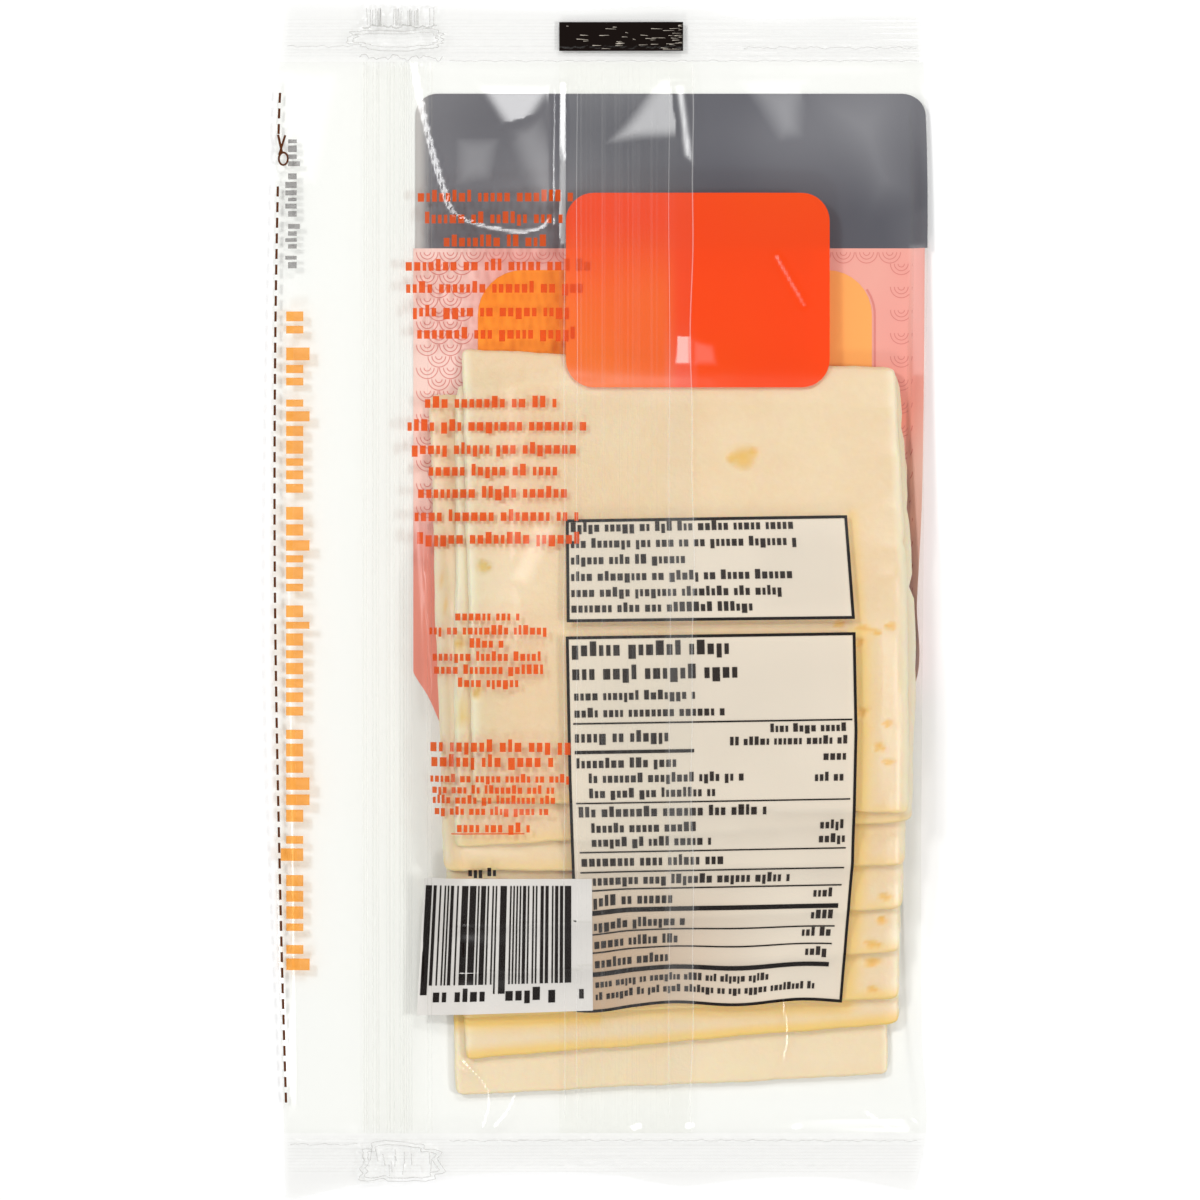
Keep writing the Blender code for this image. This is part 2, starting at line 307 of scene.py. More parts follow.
# Soft patches where the film leans so that the camera sees a light in it: corners clockwise, the
# light, the width of the soft edge, how far it leans, where 1 shows the light's middle, and blur.
LEANS = (
    (((-36.0, 50.0), (-20.0, 51.0), (-18.0, -37.0), (-30.0, -50.0)), "top", 3.0, 0.0, 1.0),
    (((-24.6, 106.5), (-9.6, 106.5), (-14.8, 98.4), (-17.8, 96.4)), "key", 4.0, 1.0, 0.15),
    (((-18.0, 97.4), (-12.6, 99.0), (-9.0, 92.0), (-9.0, 78.6), (-12.0, 82.5), (-15.4, 89.5)),
     "top", 5.0, 0.97, 0.75),
    (((-28.6, 95.0), (-21.6, 95.0), (-23.0, 88.0), (-28.6, 87.0)), "key", 3.0, 0.88, 1.0),
    (((13.4, 107.0), (17.6, 107.0), (18.4, 97.0), (3.0, 95.4)), "top", 3.4, 0.99, 0.5),
    (((15.6, 107.0), (17.8, 107.0), (19.8, 90.0), (17.6, 92.0)), "key", 2.0, 0.97, 0.3),
    (((31.5, 106.5), (42.0, 106.5), (41.0, 97.0), (38.0, 96.5)), "top", 5.0, 0.96, 0.6),
    (((46.0, 104.0), (60.0, 104.0), (66.0, 84.0), (56.0, 80.0)), "key", 9.0, 0.77, 1.0),
    (((64.6, 73.5), (67.4, 73.5), (67.4, 47.0), (65.2, 47.0)), "right", 1.6, 0.9, 0.9),
    (((16.0, 55.2), (19.2, 54.8), (19.2, 48.7), (15.6, 48.7)), "top", 0.5, 0.93, 0.35),
    (((19.3, 54.2), (24.0, 53.0), (24.8, 48.6), (19.4, 48.6)), "top", 1.6, 0.88, 0.8),
    (((-13.2, 15.6), (-9.6, 14.8), (-14.6, 3.2), (-18.6, 4.0)), "top", 3.0, 0.95, 0.6),
    (((-38.3, 16.5), (-37.0, 16.5), (-34.5, -18.4), (-36.0, -18.4)), "top", 0.8, 0.95, 0.6),
    (((-63.0, 108.0), (-56.0, 108.0), (-60.0, 88.0), (-65.0, 88.0)), "key", 6.0, 0.92, 1.0),
)
DEFAULT_BLUR = 1.0

# Thin lines that glint in the same way: points, the light, half width and how far they lean.
GLINTS = (
    (HOOK, "key", 0.45, 0.98),
    (HOOK_END, "key", 0.3, 0.91),
    (((-9.3, 106.0), (-9.2, 78.0)), "right", 0.15, 0.93),
    (((-7.3, 107.0), (-7.3, 92.0)), "key", 0.25, 0.97),
    (((-7.3, 92.0), (-7.3, 74.0)), "key", 0.2, 0.9),
    (SCRATCH, "key", 0.4, 0.82),
    (LEFT_CURL, "key", 0.12, 0.95),
    (SHORT_CURL, "key", 0.12, 0.95),
    (RIGHT_CURL, "right", 0.1, 0.9),
    (((55.5, -106.1), (61.1, -110.0)), "key", 0.25, 0.97),
    (((7.2, -109.3), (8.4, -109.0)), "bottom", 0.25, 1.0),
    (((18.4, -109.0), (19.4, -108.8)), "bottom", 0.25, 1.0),
    (((40.6, -109.2), (41.6, -109.0)), "bottom", 0.25, 1.0),
)

# How softly a glint ends, in millimetres.
GLINT_SOFT = 0.9

# A patch's soft edge starts outside its corners, by this share of the edge's width.
LEAN_START = 0.35
LEAN_POWER = 0.35

# Slopes are read this far to each side.
SLOPE_REACH = 0.6
FAR_AWAY = 1e9


def distance_to_line(x, y, points):
    """The distance of each grid point to a line of straight stretches."""
    nearest = np.full(x.shape, FAR_AWAY)
    for (ax, ay), (bx, by) in zip(points, points[1:]):
        dx, dy = bx - ax, by - ay
        t = np.clip(((x - ax) * dx + (y - ay) * dy) / (dx * dx + dy * dy), 0.0, 1.0)
        nearest = np.minimum(nearest, np.hypot(x - ax - t * dx, y - ay - t * dy))
    return nearest


def round_off(points, times):
    """Round the corners of a line by cutting them, over and over."""
    for _ in range(times):
        cut = [points[0]]
        for (ax, ay), (bx, by) in zip(points, points[1:]):
            cut.append((0.75 * ax + 0.25 * bx, 0.75 * ay + 0.25 * by))
            cut.append((0.25 * ax + 0.75 * bx, 0.25 * ay + 0.75 * by))
        cut.append(points[-1])
        points = cut
    return points


def crease_height(grid):
    """The height that creases and faint ripples add to the film."""
    x, y = grid.x, grid.y
    added = np.zeros(x.shape)
    for points, width, height in CREASES:
        away = distance_to_line(x, y, round_off(points, LINE_ROUNDING))
        added += height * np.exp(-(away / width) ** 2)
    draw = random.Random(7)
    for _ in range(RIPPLES):
        pitch = draw.uniform(*RIPPLE_PITCHES)
        turn = draw.uniform(0.0, math.pi)
        phase = draw.uniform(0.0, 2.0 * math.pi)
        wave = np.sin((x * math.cos(turn) + y * math.sin(turn)) * 2.0 * math.pi / pitch + phase)
        added += RIPPLE_HEIGHT * pitch * (wave + 1.0) / 2.0
    inside = window(y, SEAL_LOW + 3.0, SEAL_HIGH - 3.0, 3.0)
    inside *= smooth_step(x - left_fold(y), 0.0, 4.0)
    inside *= smooth_step(right_fold(y) - x, 0.0, 4.0)
    return added * inside


def slope_to_light(name, x, y):
    """The slope of film that shows a light to the camera, at each place in millimetres."""
    place = next(place for light, place, _, _ in LIGHTS if light == name)
    here = np.stack([x * MM, y * MM, np.full(x.shape, 0.01)], axis=-1)
    to_light = np.array(place) - here
    to_camera = np.array((PHOTO_X * MM, PHOTO_Y * MM, CAMERA_HEIGHT * MM)) - here
    half = to_light / np.linalg.norm(to_light, axis=-1, keepdims=True)
    half = half + to_camera / np.linalg.norm(to_camera, axis=-1, keepdims=True)
    flat = half / half[..., 2:]
    flat[..., 2] = 0.0
    return flat


def patch_share(corners, soft, x, y):
    """How far each place lies inside a soft patch, from 0 to 1."""
    depth = np.full(x.shape, FAR_AWAY)
    for (ax, ay), (bx, by) in zip(corners, corners[1:] + corners[:1]):
        length = math.hypot(bx - ax, by - ay)
        depth = np.minimum(depth, ((by - ay) * (x - ax) - (bx - ax) * (y - ay)) / length)
    return np.clip(depth / soft + LEAN_START, 0.0, 1.0) ** LEAN_POWER


def glint_share(points, half, x, y):
    away = distance_to_line(x, y, round_off(points, LINE_ROUNDING))
    return 1.0 - smooth_step(away, half, half + GLINT_SOFT)


def film_lean(x, y, height):
    """What to add to the film's normal so that it shows a light in some places, and its blur."""
    slope_x = (height(x - SLOPE_REACH, y) - height(x + SLOPE_REACH, y)) / (2.0 * SLOPE_REACH)
    slope_y = (height(x, y - SLOPE_REACH) - height(x, y + SLOPE_REACH)) / (2.0 * SLOPE_REACH)
    own = np.stack([slope_x, slope_y, np.zeros(x.shape)], axis=-1)
    lean = np.zeros((*x.shape, 3))
    blur = np.full(x.shape, DEFAULT_BLUR)
    towards = {light[0]: slope_to_light(light[0], x, y) for light in LIGHTS}
    places = [(patch_share(corners, soft, x, y), light, reach, patch_blur)
              for corners, light, soft, reach, patch_blur in LEANS]
    places += [(glint_share(points, half, x, y), light, reach, 0.0) for points, light, half, reach in GLINTS]
    for share, light, reach, own_blur in places:
        blur = np.where(share > 0.0, own_blur, blur)
        share = share[..., None]
        lean = lean * (1.0 - share) + (reach * towards[light] - own) * share
    return lean, blur


# Pieces

def finish_piece(piece, slot, smooth=True):
    """Put a new piece on the pack's body; its slot is not used."""
    bpy.context.scene.collection.objects.link(piece)
    if smooth:
        piece.data.shade_smooth()
    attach(piece, "root")
    return piece


class Patchwork:
    """One piece gathered from several grids of points, in millimetres."""

    def __init__(self):
        self.points = []
        self.faces = []
        self.count = 0

    def add_grid(self, x, y, z):
        rows, columns = x.shape
        index = self.count + np.arange(rows * columns).reshape(rows, columns)
        quads = np.stack([index[:-1, :-1], index[:-1, 1:], index[1:, 1:], index[1:, :-1]], axis=-1)
        self.points.append(np.stack([x, y, z], axis=-1).reshape(-1, 3))
        self.faces.append(quads.reshape(-1, 4))
        self.count += rows * columns
        return index

    def add_faces(self, faces):
        self.faces.append(np.array(faces).reshape(-1, 4))

    def piece(self, name, material, slot, smooth=True):
        mesh = bpy.data.meshes.new(name)
        points = np.concatenate(self.points) * MM
        mesh.from_pydata(points.tolist(), [], np.concatenate(self.faces).tolist())
        mesh.materials.append(material)
        made = bpy.data.objects.new(name, mesh)
        return finish_piece(made, slot, smooth)


def paint_tone(piece, tone, name="tone"):
    """Keep tone(x, y), from 0 to 1, for each point of a printed piece."""
    vertices = piece.data.vertices
    place = np.empty(3 * len(vertices))
    vertices.foreach_get("co", place)
    x, y, _ = place.reshape(-1, 3).T / MM
    paint_points(piece, name, np.clip(tone(x, y), 0.0, 1.0))


def paint_points(piece, name, values):
    """Keep one number, or one vector, for each point of a piece."""
    kind, field = ("FLOAT_VECTOR", "vector") if values.ndim == 3 else ("FLOAT", "value")
    attribute = piece.data.attributes.new(name, kind, "POINT")
    attribute.data.foreach_set(field, values.ravel())


# Surfaces on which print and film lie

class Surfaces:
    """The heights of the front and back films, in millimetres."""

    EDGE_RISE = 3.7
    FRONT_LEVEL = 0.12

    def __init__(self):
        coarse = Field(CELL)
        self.rests = stack_slices(coarse)
        cheese = cheese_height(self.rests, coarse)
        film = relax_film(coarse, np.zeros(coarse.x.shape), cheese, FILM_RELAX_STEPS)
        fine = Field(FINE_CELL)
        cheese = cheese_height(self.rests, fine)
        film = relax_film(fine, film.at(fine.x, fine.y), cheese, FINE_RELAX_STEPS)
        self.film = film.like(film.height + crease_height(fine))

    def back(self, x, y):
        return self.film.at(x, y)

    def left_panel(self, x, y):
        return self.back(x, y) + LAP_RISE

    def front(self, x, y):
        side = np.minimum(x - left_fold(y), right_fold(y) - x)
        end = np.minimum(y - SEAL_LOW, SEAL_HIGH - y)
        rise = 1.0 - smooth_step(np.minimum(side, end), 0.0, self.EDGE_RISE)
        return self.FRONT_LEVEL + (rim_height(x, y) - self.FRONT_LEVEL) * rise


# Materials

FILM_EDGE_SHADE = (0.60, 0.60, 0.58)
# Tones mixed into the cheese: paler, partly as painted light; painted amber shade at the slices' lower ends
# and beside printed panels; and the amber of the eyes.
CHEESE_TONES = (("pale_and_painted_light", (0.94, 0.82, 0.62)), ("edge", (0.88, 0.59, 0.18)), ("amber", (0.86, 0.50, 0.12)))


def new_material(name):
    made = bpy.data.materials.new(name)
    made.use_nodes = True
    made.node_tree.nodes.clear()
    return made, made.node_tree


def add_node(tree, kind, inputs=None, **settings):
    """Add a node. Each input, by its name or number, gets a value or is linked to a socket."""
    node = tree.nodes.new("ShaderNode" + kind)
    for key, value in settings.items():
        setattr(node, key, value)
    for key, value in (inputs or {}).items():
        socket = node.inputs[key]
        if isinstance(value, bpy.types.NodeSocket):
            tree.links.new(value, socket)
        else:
            socket.default_value = (*value, 1.0) if socket.type == "RGBA" else value
    return node


def close_material(made, shader):
    add_node(made.node_tree, "OutputMaterial", {"Surface": shader.outputs[0]})
    return made


def object_noise(tree, size, detail=1.0):
    """Noise whose blobs are about size millimetres."""
    place = add_node(tree, "TexCoord").outputs["Object"]
    mapping = add_node(tree, "Mapping", {"Vector": place, "Scale": [1.0 / (size * MM)] * 3})
    noise = add_node(tree, "TexNoise", {"Vector": mapping.outputs["Vector"], "Scale": 1.0, "Detail": detail})
    return noise.outputs["Fac"]


def colour_mix(tree, factor, first, second):
    """Mix two colours, each a tuple or a socket, by a factor socket."""
    return add_node(tree, "Mix", {0: factor, 6: first, 7: second}, data_type="RGBA").outputs[2]


def remap(tree, value, low, high, to_low=0.0, to_high=1.0):
    inputs = {"Value": value, "From Min": low, "From Max": high, "To Min": to_low, "To Max": to_high}
    return add_node(tree, "MapRange", inputs).outputs["Result"]


def math_node(tree, operation, first, second):
    return add_node(tree, "Math", {0: first, 1: second}, operation=operation).outputs[0]


def mix_shaders(tree, share, first, second):
    return add_node(tree, "MixShader", {0: share, 1: first.outputs[0], 2: second.outputs[0]})


def attribute_value(tree, name, output="Fac"):
    return add_node(tree, "Attribute", attribute_name=name).outputs[output]


def soft_clouds(tree, size):
    """Soft clouds of about the size in millimetres, from 0 to 1."""
    return remap(tree, object_noise(tree, size), 0.35, 0.65)


def cheese_material():
    """Pale firm cheese: soft light inside, faint mottling and amber eyes."""
    made, tree = new_material("cheese")
    base = colour_mix(tree, soft_clouds(tree, 16.0), (0.83, 0.64, 0.415), (0.81, 0.60, 0.37))
    grain = remap(tree, object_noise(tree, 1.6, 2.0), 0.4, 0.7, 0.0, 0.22)
    base = colour_mix(tree, grain, base, (0.88, 0.71, 0.50))
    # Mix in the paler tone, partly painted light, the painted amber shade, and the eyes' amber.
    for name, colour in CHEESE_TONES:
        base = colour_mix(tree, attribute_value(tree, name), base, colour)
    fine = object_noise(tree, 0.9, 2.0)
    bump = add_node(tree, "Bump", {"Height": fine, "Strength": 0.5, "Distance": 0.12 * MM})
    shader = add_node(tree, "BsdfPrincipled", {
        "Base Color": base,
        "Roughness": 0.42,
        "Subsurface Weight": 0.45,
        "Subsurface Radius": (1.0, 0.45, 0.16),
        "Subsurface Scale": 2.5 * MM,
        "Normal": bump.outputs["Normal"],
    })
    return close_material(made, shader)


def film_normal(tree):
    """The film's normal, with its leaning places."""
    normal = add_node(tree, "NewGeometry").outputs["Normal"]
    lean = attribute_value(tree, "lean", "Vector")
    leaned = add_node(tree, "VectorMath", {0: normal, 1: lean}, operation="ADD").outputs[0]
    return add_node(tree, "VectorMath", {0: leaned}, operation="NORMALIZE").outputs[0]


def film_material(name, haze=0.002, gloss_on=0.025, roughness=0.15, blurred=0.32, tint=(0.994, 0.995, 0.986),
                  shade_on=4.0, edge_shade=FILM_EDGE_SHADE):
    """Clear film: it shows what is behind it, greyer where it stands steep, with a glossy face.

    It reflects a little face on and all at a glancing angle, the same from above and below.
    """
    made, tree = new_material(name)
    normal = film_normal(tree)
    steep = add_node(tree, "LayerWeight", {"Blend": 0.5, "Normal": normal}).outputs["Facing"]
    shade = math_node(tree, "POWER", steep, shade_on)
    clear = add_node(tree, "BsdfTransparent", {"Color": colour_mix(tree, shade, tint, edge_shade)})
    milk = add_node(tree, "BsdfPrincipled", {"Roughness": 0.5, "Base Color": (0.96, 0.96, 0.95)})
    body = mix_shaders(tree, math_node(tree, "ADD", attribute_value(tree, "haze"), haze), clear, milk)
    if blurred:
        roughness = remap(tree, attribute_value(tree, "blur"), 0.0, 1.0, roughness, blurred)
    gloss = add_node(tree, "BsdfGlossy", {"Roughness": roughness, "Normal": normal})
    glancing = remap(tree, math_node(tree, "POWER", steep, 5.0), 0.0, 1.0, gloss_on, 1.0)
    return close_material(made, mix_shaders(tree, glancing, body, gloss))


def ink_material(name, colour, second=None, cover=1.0, through=(1.0, 1.0, 1.0), blob=22.0, toned=None,
                 painted_light=None):
    """Printed ink, a little cloudy; where it doesn't cover fully, light passes tinted.

    An ink turns to its toned colour, or to its paler colour of painted light, where the piece's points say
    so.
    """
    made, tree = new_material(name)
    second = second or tuple(0.94 * part for part in colour)
    base = colour_mix(tree, soft_clouds(tree, blob), colour, second)
    for attribute, other in (("tone", toned), ("shade", painted_light)):
        if other:
            base = colour_mix(tree, attribute_value(tree, attribute), base, other)
    inputs = {"Base Color": base, "Roughness": 0.5, "Specular IOR Level": 0.0}
    shader = add_node(tree, "BsdfPrincipled", inputs)
    if cover < 1.0:
        shader = mix_shaders(tree, cover, add_node(tree, "BsdfTransparent", {"Color": through}), shader)
    return close_material(made, shader)


def linear(red, green, blue):
    """A colour as a screen shows it, 0 to 255, as linear light."""
    def one(level):
        level /= 255.0
        return level / 12.92 if level <= 0.04045 else ((level + 0.055) / 1.055) ** 2.4
    return (one(red), one(green), one(blue))


# The cheese slices

# Eyes on the slices: the slice, X, Y, the radii along X and Y, and the depth.
EYES = (
    (7, 29.9, 29.4, 1.7, 1.6, 0.9),
    (6, -28.9, -8.7, 1.1, 0.7, 0.4),
    (7, -25.2, -19.2, 0.7, 0.8, 0.4),
    (7, -23.8, 7.0, 0.8, 0.8, 0.6),
    (7, 49.6, -4.7, 0.6, 0.6, 0.4),
    (7, 54.4, -5.7, 0.7, 0.5, 0.4),
    (7, 60.2, -5.1, 0.7, 0.5, 0.4),
    (7, 53.6, -8.8, 0.6, 0.5, 0.4),
    (7, 54.0, -23.1, 0.9, 0.7, 0.7),
    (7, 59.6, -25.2, 0.6, 0.5, 0.4),
    (7, 57.7, -30.0, 0.7, 0.6, 0.4),
    (7, 57.1, -6.6, 0.6, 0.5, 0.4),
    (7, 59.6, -33.3, 0.7, 0.5, 0.4),
    (5, -32.9, 3.2, 0.7, 0.6, 0.5),
    (5, -31.9, 0.1, 0.6, 0.6, 0.5),
    (6, -28.2, -23.1, 0.8, 1.2, 0.5),
    (4, 58.8, -61.1, 0.9, 0.5, 0.5),
    (3, 58.4, -66.3, 0.8, 0.5, 0.5),
    (3, 56.5, -71.1, 1.0, 0.7, 0.5),
    (2, 56.7, -74.6, 1.3, 0.6, 0.5),
    (2, 56.5, -80.4, 0.8, 0.5, 0.5),
)

# Notches in the right edges: the slice, Y, their half height and depth.
NOTCHES = ((6, 35.8, 0.9, 0.5), (6, 19.8, 1.0, 0.6), (6, 3.0, 1.2, 0.8), (7, 12.0, 0.8, 0.4))

SLICE_CELL = 0.65
SLICE_ACROSS_CELL = 1.15 * SLICE_CELL
SLICE_WIDE_CELL = 2.6
SLICE_SHOWN_END = 19.0
CORNER_REACH = 0.05
CORNER_PULL = 0.5
EDGE_ROUND = 0.14
EDGE_ROUND_WIDTH = 1.5
EDGE_WOBBLE = 0.16
EDGE_WOBBLE_WIDTH = 4.0
SLICE_GAP = 0.03
SETTLED = 0.88

# The lower end of each slice, where it steps down, is painted more amber as painted shade, and the lowest
# slices, on a bright ground, are painted paler as painted light; every slice is also paler near its sides.
END_PAINTED_SHADE = (0.05, 0.95, 0.75, 0.55, 0.45, 0.4)
END_PAINTED_SHADE_WIDTH = 3.4
LOW_SLICES_PAINTED_LIGHT = (0.4, 0.25, 0.1, 0.0)
SIDE_PALE = 0.75
SIDE_PALE_WIDTH = 2.6

# Each eye is drawn a little larger, with two smaller hollows beside it.
EYE_GROWTH = 1.35
EYE_SPREAD = 1.3
SMALL_EYES = (0.45, 0.7)

# Painted shadow: where printed panels shade the cheese, the cheese beside them is painted amber: points,
# half width, strength.
PAINTED_PRINT_SHADOWS = (
    (((53.9, -6.5), (54.3, -26.9), (53.7, -54.0), (51.4, -83.4)), 2.2, 0.8),
    (((52.3, 17.6), (53.8, -3.8)), 1.3, 0.6),
    (((-32.0, -87.4), (-0.4, -86.2)), 2.0, 1.1),
    (((-4.6, -85.3), (51.0, -84.3)), 2.2, 0.75),
    (((-0.5, -60.0), (-0.2, -85.6)), 1.0, 0.5),
)


# The painted amber shadow of the printed panels on the cheese, strongest right beside them.
def painted_print_shadow(x, y):
    painted_shadow = np.zeros(x.shape)
    for points, half, strength in PAINTED_PRINT_SHADOWS:
        painted_shadow = np.maximum(painted_shadow, strength * np.exp(-(distance_to_line(x, y, points) / half) ** 2))
    return painted_shadow


def slice_side(points, t):
    """The place at t, 0 to 1, down one side of a slice through its corners."""
    corners = np.array(points)
    along = np.linspace(0.0, 1.0, len(points))
    x = smooth_curve(list(zip(along, corners[:, 0])), t)
    y = smooth_curve(list(zip(along, corners[:, 1])), t)
    return x, y


def wobble(along, seed):
    """A small uneven wave along a cut edge."""
    draw = random.Random(seed)
    wave = np.zeros(np.shape(along))
    for turns in (2.0, 5.0, 9.0, 17.0, 31.0):
        wave = wave + np.sin(2.0 * math.pi * (turns * along + draw.random())) / turns ** 0.6
    return wave * EDGE_WOBBLE


def slice_stations(number, length):
    """Stations down a slice, close together where it shows: all of the top one, others near the end."""
    if number == len(SLICES) - 1:
        return spaced(0.0, length, SLICE_CELL) / length
    hidden = spaced(0.0, length - SLICE_SHOWN_END, SLICE_WIDE_CELL)
    shown = spaced(length - SLICE_SHOWN_END, length, SLICE_CELL)
    return np.concatenate([hidden, shown[1:]]) / length


def uneven_eye(x, y, radius_x, radius_y, depth):
    """An eye and two smaller hollows that run into it."""
    draw = random.Random(int(abs(x * 31.0 + y * 17.0) * 10.0))
    parts = [(x, y, radius_x * EYE_GROWTH, radius_y * EYE_GROWTH, depth)]
    for _ in range(2):
        turn = draw.uniform(0.0, 2.0 * math.pi)
        size = EYE_GROWTH * draw.uniform(*SMALL_EYES)
        small_x = x + EYE_SPREAD * radius_x * math.cos(turn)
        small_y = y + EYE_SPREAD * radius_y * math.sin(turn)
        parts.append((small_x, small_y, size * radius_x, size * radius_y, 0.5 * depth))
    return parts


def slice_plan(number):
    """Where a slice's points lie, and how far they are from its sides, its ends and its lower end."""
    corners = SLICES[number]
    length = math.dist(corners[0], corners[-1])
    width = math.dist(corners[0], corners[1])
    t = slice_stations(number, length)[:, None]
    s = (spaced(0.0, width, SLICE_ACROSS_CELL) / width)[None, :]
    side = np.minimum(s, 1.0 - s) * width
    end = np.minimum(t, 1.0 - t) * length
    left_x, left_y = slice_side((corners[0], corners[-1]), t)
    right_x, right_y = slice_side(corners[1:-1], t)
    outward_x = np.sign(s - 0.5)
    outward_y = np.sign(0.5 - t)
    push_x = wobble(t, number * 7 + 1) * (1.0 - smooth_step(side, 0.0, EDGE_WOBBLE_WIDTH)) * outward_x
    push_y = wobble(s, number * 7 + 2) * (1.0 - smooth_step(end, 0.0, EDGE_WOBBLE_WIDTH)) * outward_y
    x = left_x + (right_x - left_x) * s + push_x
    y = left_y + (right_y - left_y) * s + push_y
    corner = np.abs(2.0 * s - 1.0) + np.abs(2.0 * t - 1.0) - 2.0 + CORNER_REACH
    corner = np.clip(corner / CORNER_REACH, 0.0, 1.0)
    x = x - CORNER_PULL * corner ** 2 * outward_x
    y = y - CORNER_PULL * corner ** 2 * outward_y
    for notched, notch_y, half, depth in NOTCHES:
        if notched == number:
            x = x - depth * np.exp(-((y - notch_y) / half) ** 2) * smooth_step(s, 0.96, 1.0)
    low_end = (1.0 - t) * length
    return x, y, *(np.broadcast_to(each, x.shape) for each in (side, end, low_end))


def slice_eyes(number, x, y):
    """How deep the slice's eyes are, and how far each place lies in one, from 0 to 1."""
    hollow = np.zeros(x.shape)
    amber = np.zeros(x.shape)
    for eye in (eye for owner, *eye in EYES if owner == number):
        for eye_x, eye_y, radius_x, radius_y, depth in uneven_eye(*eye):
            bowl = np.exp(-(((x - eye_x) / radius_x) ** 2 + ((y - eye_y) / radius_y) ** 2) ** 1.5)
            hollow = hollow + depth * bowl
            amber = np.maximum(amber, bowl)
    return hollow, amber


def paint_slice(piece, number, x, y, side, low_end, amber):
    """Keep where a slice is amber in its eyes, where it has painted amber shade at its lower end and beside
    printed panels, and where it is paler, partly as painted light.
    """
    strength = END_PAINTED_SHADE[min(number, len(END_PAINTED_SHADE) - 1)]
    edge = strength * (1.0 - smooth_step(low_end, 0.5, END_PAINTED_SHADE_WIDTH))
    pale_and_painted_light = SIDE_PALE * (1.0 - smooth_step(side, 0.3, SIDE_PALE_WIDTH))
    pale_and_painted_light = np.maximum(pale_and_painted_light, LOW_SLICES_PAINTED_LIGHT[min(number, len(LOW_SLICES_PAINTED_LIGHT) - 1)])
    painted_shade = np.maximum(edge, painted_print_shadow(x, y))
    for name, upper, lower in (("amber", amber, 0.0 * amber), ("edge", painted_shade, edge), ("pale_and_painted_light", pale_and_painted_light, pale_and_painted_light)):
        paint_points(piece, name, np.concatenate([upper.ravel(), lower.ravel()]))


def make_slice(number, surfaces, material):
    """One slice, sagging over what it rests on, with rounded edges, notches and eyes."""
    x, y, side, end, low_end = slice_plan(number)
    under = surfaces.rests[number].at(x, y)
    rise = slice_rise(number, x, y)
    edge = (1.0 - np.clip(np.minimum(side, end) / EDGE_ROUND_WIDTH, 0.0, 1.0)) ** 2
    rounding = EDGE_ROUND * edge * rise / SLICE_THICKNESS
    hollow, amber = slice_eyes(number, x, y)
    top = under + rise - SLICE_GAP - rounding - hollow
    bottom = under + SLICE_GAP + 0.5 * rounding

    work = Patchwork()
    upper = ring_of(work.add_grid(x, y, top * SETTLED))
    lower = ring_of(work.add_grid(x, y, bottom * SETTLED))
    work.faces[0] = work.faces[0][:, ::-1]
    work.add_faces(np.stack([upper, np.roll(upper, -1), np.roll(lower, -1), lower], axis=-1))
    piece = work.piece(f"cheese_slice_{number + 1}", material, "cheese")
    paint_slice(piece, number, x, y, side, low_end, amber)


def ring_of(index):
    """The border of a grid of indices, as one loop."""
    return np.concatenate([index[0, :], index[1:, -1], index[-1, -2::-1], index[-2:0:-1, 0]])


# The film

FILM_CELL = 0.65
FRONT_CELL = 1.3
LAP_RIBS_LEFT = -4.6
LAP_RIBS_RIGHT = 15.4
LAP_RIB_PITCH = 1.15
LAP_RIB_HEIGHT = 0.012
LAP_EDGE_WAVE = 0.25
LAP_HAZE = 0.004
LAP_FOLD_LEFT = 13.8
LAP_FOLD_HAZE = 0.022


def lap_edge(y):
    """The free edge of the left back panel, a little wavy."""
    wave = np.sin(y / 13.0 + 0.8) + 0.6 * np.sin(y / 5.1)
    return LAP_RIGHT + LAP_EDGE_WAVE * wave


def lap_ribs(x):
    inside = window(x, LAP_RIBS_LEFT, LAP_RIBS_RIGHT, 1.0)
    return LAP_RIB_HEIGHT * np.sin(2.0 * math.pi * x / LAP_RIB_PITCH) * inside


def film_haze(x, y):
    """The film is a little milky in the lapped seam, and more so in the fold of its lower part."""
    lapped = smooth_step(x, LAP_LEFT, LAP_LEFT + 2.0)
    lapped = lapped * smooth_step(-x, -LAP_RIBS_RIGHT - 1.0, -LAP_RIBS_RIGHT)
    folded = smooth_step(x, LAP_FOLD_LEFT - 0.6, LAP_FOLD_LEFT + 0.6) * smooth_step(-y, -60.0, -44.0)
    return LAP_HAZE * lapped + LAP_FOLD_HAZE * folded * (x < LAP_RIGHT + 1.0)


def sheet(name, height, left, right, cell, material):
    """A sheet of film between two lines along Y."""
    x, y = between_lines(spaced(SEAL_LOW, SEAL_HIGH, cell)[:, None], left, right, cell)
    work = Patchwork()
    work.add_grid(x, y, height(x, y))
    piece = work.piece(name, material, "film")
    if name != "film_front":
        lean, blur = film_lean(x, y, height)
        for attribute, values in (("lean", lean), ("blur", blur), ("haze", film_haze(x, y))):
            paint_points(piece, attribute, values)
    return piece


def make_films(surfaces, clear, lapped, below):
    """The two back panels, the left one lapped over the right one, and the front panel."""
    def lap_start(y):
        return np.full(np.shape(y), LAP_LEFT)

    def upper(x, y):
        lift = LAP_RISE * smooth_step(x - left_fold(y), 0.0, 6.0)
        return surfaces.back(x, y) + lift + lap_ribs(x)

    back_left = sheet("film_back_left", upper, left_fold, lap_edge, FILM_CELL, clear)
    sheet("film_back_right", surfaces.back, lap_start, right_fold, FILM_CELL, lapped)
    sheet("film_front", surfaces.front, left_fold, right_fold, FRONT_CELL, below)
    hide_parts("pouch")


# The end seals

